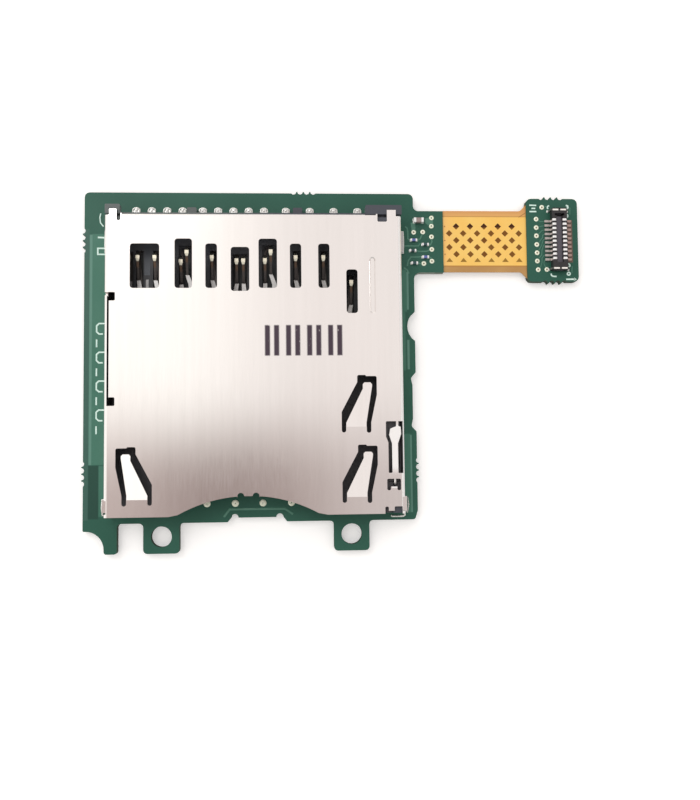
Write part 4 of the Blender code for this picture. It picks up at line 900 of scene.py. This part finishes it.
def plug_legend(mesh):
    """The connector's corner marks, an arrow, a ring and three bars."""
    low = BOARD_TOP
    high = BOARD_TOP + SILK
    marks = (
        ([(42.6, -1.36), (42.55, -1.2), (42.62, -1.08), (42.72, -1.04)], 0.13),
        ([(44.32, -1.0), (44.47, -1.06), (44.5, -1.2), (44.42, -1.34)], 0.17),
        ([(44.38, -1.84), (44.47, -1.95), (44.45, -2.08), (44.34, -2.16)], 0.15),
        ([(44.4, -6.5), (44.52, -6.6), (44.54, -6.72), (44.43, -6.82)], 0.15),
        ([(42.74, -7.45), (42.8, -7.63), (42.93, -7.7), (43.26, -7.72)], 0.14),
        ([(44.16, -7.99), (45.0, -7.98)], 0.15),
        ([(40.85, -1.0), (41.5, -1.02)], 0.14),
        ([(40.85, -1.6), (41.5, -1.6)], 0.14),
        ([(41.05, -1.3), (41.4, -1.3)], 0.14),
    )
    for line, width in marks:
        track(mesh, line, width, low, high)
    plate(mesh, [(44.92, -8.12), (45.16, -7.98), (44.92, -7.84)], low, high)
    washer(mesh, 44.42, -7.46, 0.2, 0.07, low, high)


def tail_places():
    """X of the 13 solder tails, as the frame's contacts have them."""
    names = [f"card_contact_{i}" for i in range(1, 10)]
    names += [f"{kind}_contact_{side}" for kind in ("detect", "protect") for side in "ab"]
    places = []
    for name in names:
        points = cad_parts[name].data.vertices
        rear = max(point.co.y for point in points)
        ends = [point.co.x for point in points if point.co.y > rear - 0.3 * MM]
        places.append((sum(ends) / len(ends)) / MM + BENCH.x)
    return sorted(places)


def tail_pads(mesh):
    """Tinned pads under the solder tails."""
    for x in tail_places():
        plate(mesh, oval(x - 0.36, -2.35, x + 0.36, -1.44, 0.14), BOARD_TOP, BOARD_TOP + PAD)


def tail_solder(mesh):
    """The solder that climbs round each tail's end."""
    level = BOARD_TOP + 0.06
    half = [
        (0.31, -2.1, level), (0.31, -1.72, level), (0.25, -1.53, level + 0.02), (0.1, -1.44, level + 0.01),
    ]
    for x in tail_places():
        left = [(x - out, y, z) for out, y, z in half]
        right = [(x + out, y, z) for out, y, z in reversed(half)]
        bead(mesh, left + right, 0.075)
        mound(mesh, x, -1.66, BOARD_TOP + 0.1, 0.13, 0.17, 0.09)


def chip_pads(mesh):
    """Tinned pads with their solder under the neck's small parts."""
    for name in ("capacitor", "chip_1", "chip_2", "chip_3", "chip_4", "chip_5"):
        low, high = bench_box(name)
        for end, out in ((low.x, -1), (high.x, 1)):
            left, right = sorted((end - out * 0.16, end + out * 0.05))
            outline = oval(left, low.y - 0.02, right, high.y + 0.02, 0.03)
            plate(mesh, outline, BOARD_TOP, BOARD_TOP + PAD)


def foot_solder(mesh):
    """Solder round the cover's four feet and along its front right corner."""
    level = BOARD_TOP + 0.07
    low = level - 0.03
    right = COVER_RIGHT
    left = COVER_LEFT
    front = COVER_FRONT
    rear = COVER_REAR
    front_right_foot = [
        (right + 0.1, front + 1.62, level), (right + 0.28, front + 1.35, level),
        (right + 0.42, front + 0.8, level), (right + 0.42, front + 0.2, level),
        (right + 0.3, front - 0.12, level),
    ]
    fillet = [
        (right + 0.55, front + 1.3, low), (right + 0.62, front + 0.6, low), (right + 0.5, front - 0.1, low),
    ]
    corner = [
        (right - 1.0, front - 0.3, level), (right - 0.9, front - 0.4, level),
        (right + 0.1, front - 0.4, level), (right + 0.26, front - 0.3, level),
        (right + 0.26, front + 0.1, level),
    ]
    front_left_foot = [
        (left - 0.1, front + 0.1, level), (left - 0.62, front + 0.05, level),
        (left - 0.7, front + 0.7, level), (left - 0.66, front + 1.45, level),
        (left - 0.1, front + 1.5, level),
    ]
    bead(mesh, front_right_foot, 0.07)
    bead(mesh, fillet, 0.05)
    bead(mesh, corner, 0.09)
    bead(mesh, front_left_foot, 0.08)
    rear_foot = [(0.1, -0.9), (0.5, -0.92), (0.52, -1.9), (0.5, -2.93), (0.1, -2.95)]
    for side, x in ((1, right), (-1, left)):
        bead(mesh, [(x + side * out, rear + back, level) for out, back in rear_foot], 0.07)


def front_pads(mesh):
    """Round test pads in the finger notch."""
    for x in (10.96, 13.48, 15.95, 18.5):
        washer(mesh, x, -28.27, 0.31, 0.04, BOARD_TOP, BOARD_TOP + PAD)


def plug_pads(mesh):
    """Pads under the connector's feet, and solder at the ends of its nails."""
    low, high = bench_box("plug_housing")
    middle = (low.x + high.x) / 2
    for number in range(1, 21):
        low, high = bench_box(f"plug_contact_{number:02d}")
        y = (low.y + high.y) / 2
        side = -1 if number % 2 else 1
        left, right = sorted((middle + side * 0.8, middle + side * 1.24))
        plate(mesh, oval(left, y - 0.11, right, y + 0.11, 0.03), BOARD_TOP, BOARD_TOP + PAD)
    for name in ("plug_nail_rear", "plug_nail_front"):
        low, high = bench_box(name)
        for side in (-1, 1):
            mound(mesh, middle + side * 0.92, (low.y + high.y) / 2, BOARD_TOP, 0.12, 0.14, 0.09)


camera()
floor()
sky()
lamp()

green = solder_mask("solder mask")
copper = masked_copper("copper under mask")
tin = tinned("solder")
cream = tinned("tinned ring", (0.98, 1.0, 0.86), (0.84, 0.9, 0.72), 0.35, 0.3)
legend = printed("legend ink")
sheet = nickel("nickel sheet")
black = moulded("black plastic")
gold = contact_metal("contact metal")
pins = plug_pin_metal("plug pin metal")
wire = drawn_wire("spring wire")

for name in ("main_board", "connector_board"):
    dress(name, green)
    soften(name, 0.04)
dress("flex_tail", film("amber film"))
dress("socket_shell", sheet)
soften("socket_shell", 0.035)
for name in ("socket_housing", "slider"):
    dress(name, black)
    soften(name, 0.03)
dress("plug_housing", plug_plastic("plug plastic"))
soften("plug_housing", 0.015)
dress("cam_pin", wire)
dress("eject_spring", wire)
nails = nail_metal("nail metal")
for name in ("plug_nail_rear", "plug_nail_front"):
    dress(name, nails)
    soften(name, 0.006)
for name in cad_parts:
    if name.startswith(("card_contact", "detect_contact", "protect_contact")):
        dress(name, gold)
    if name.startswith("plug_contact"):
        dress(name, pins)
        soften(name, 0.015)
dress("capacitor", ceramic("capacitor body", "capacitor", (0.3, 0.23, 0.22), (0.4, 0.32, 0.31)))
soften("capacitor", 0.04)
for number in range(1, 6):
    blue = number in (1, 4)
    body = ((0.1, 0.13, 0.42), (0.14, 0.18, 0.5)) if blue else ((0.02, 0.06, 0.07), (0.04, 0.09, 0.11))
    dress(f"chip_{number}", ceramic(f"chip body {number}", f"chip_{number}", *body))
    soften(f"chip_{number}", 0.025)

piece("via_rings", via_rings, cream)
piece("via_middles", via_middles, dark_hole("via middle"))
piece("main_tracks", main_tracks, copper)
piece("plug_tracks", plug_tracks, copper)
piece("main_legend", main_legend, legend)
piece("plug_legend", plug_legend, legend)
piece("tail_pads", tail_pads, tin)
piece("tail_solder", tail_solder, tin)
piece("chip_pads", chip_pads, tin)
piece("foot_solder", foot_solder, tin)
piece("front_pads", front_pads, cream)
piece("plug_pads", plug_pads, tin)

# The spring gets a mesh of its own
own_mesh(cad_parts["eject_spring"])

bpy.context.scene.view_settings.view_transform = "Standard"
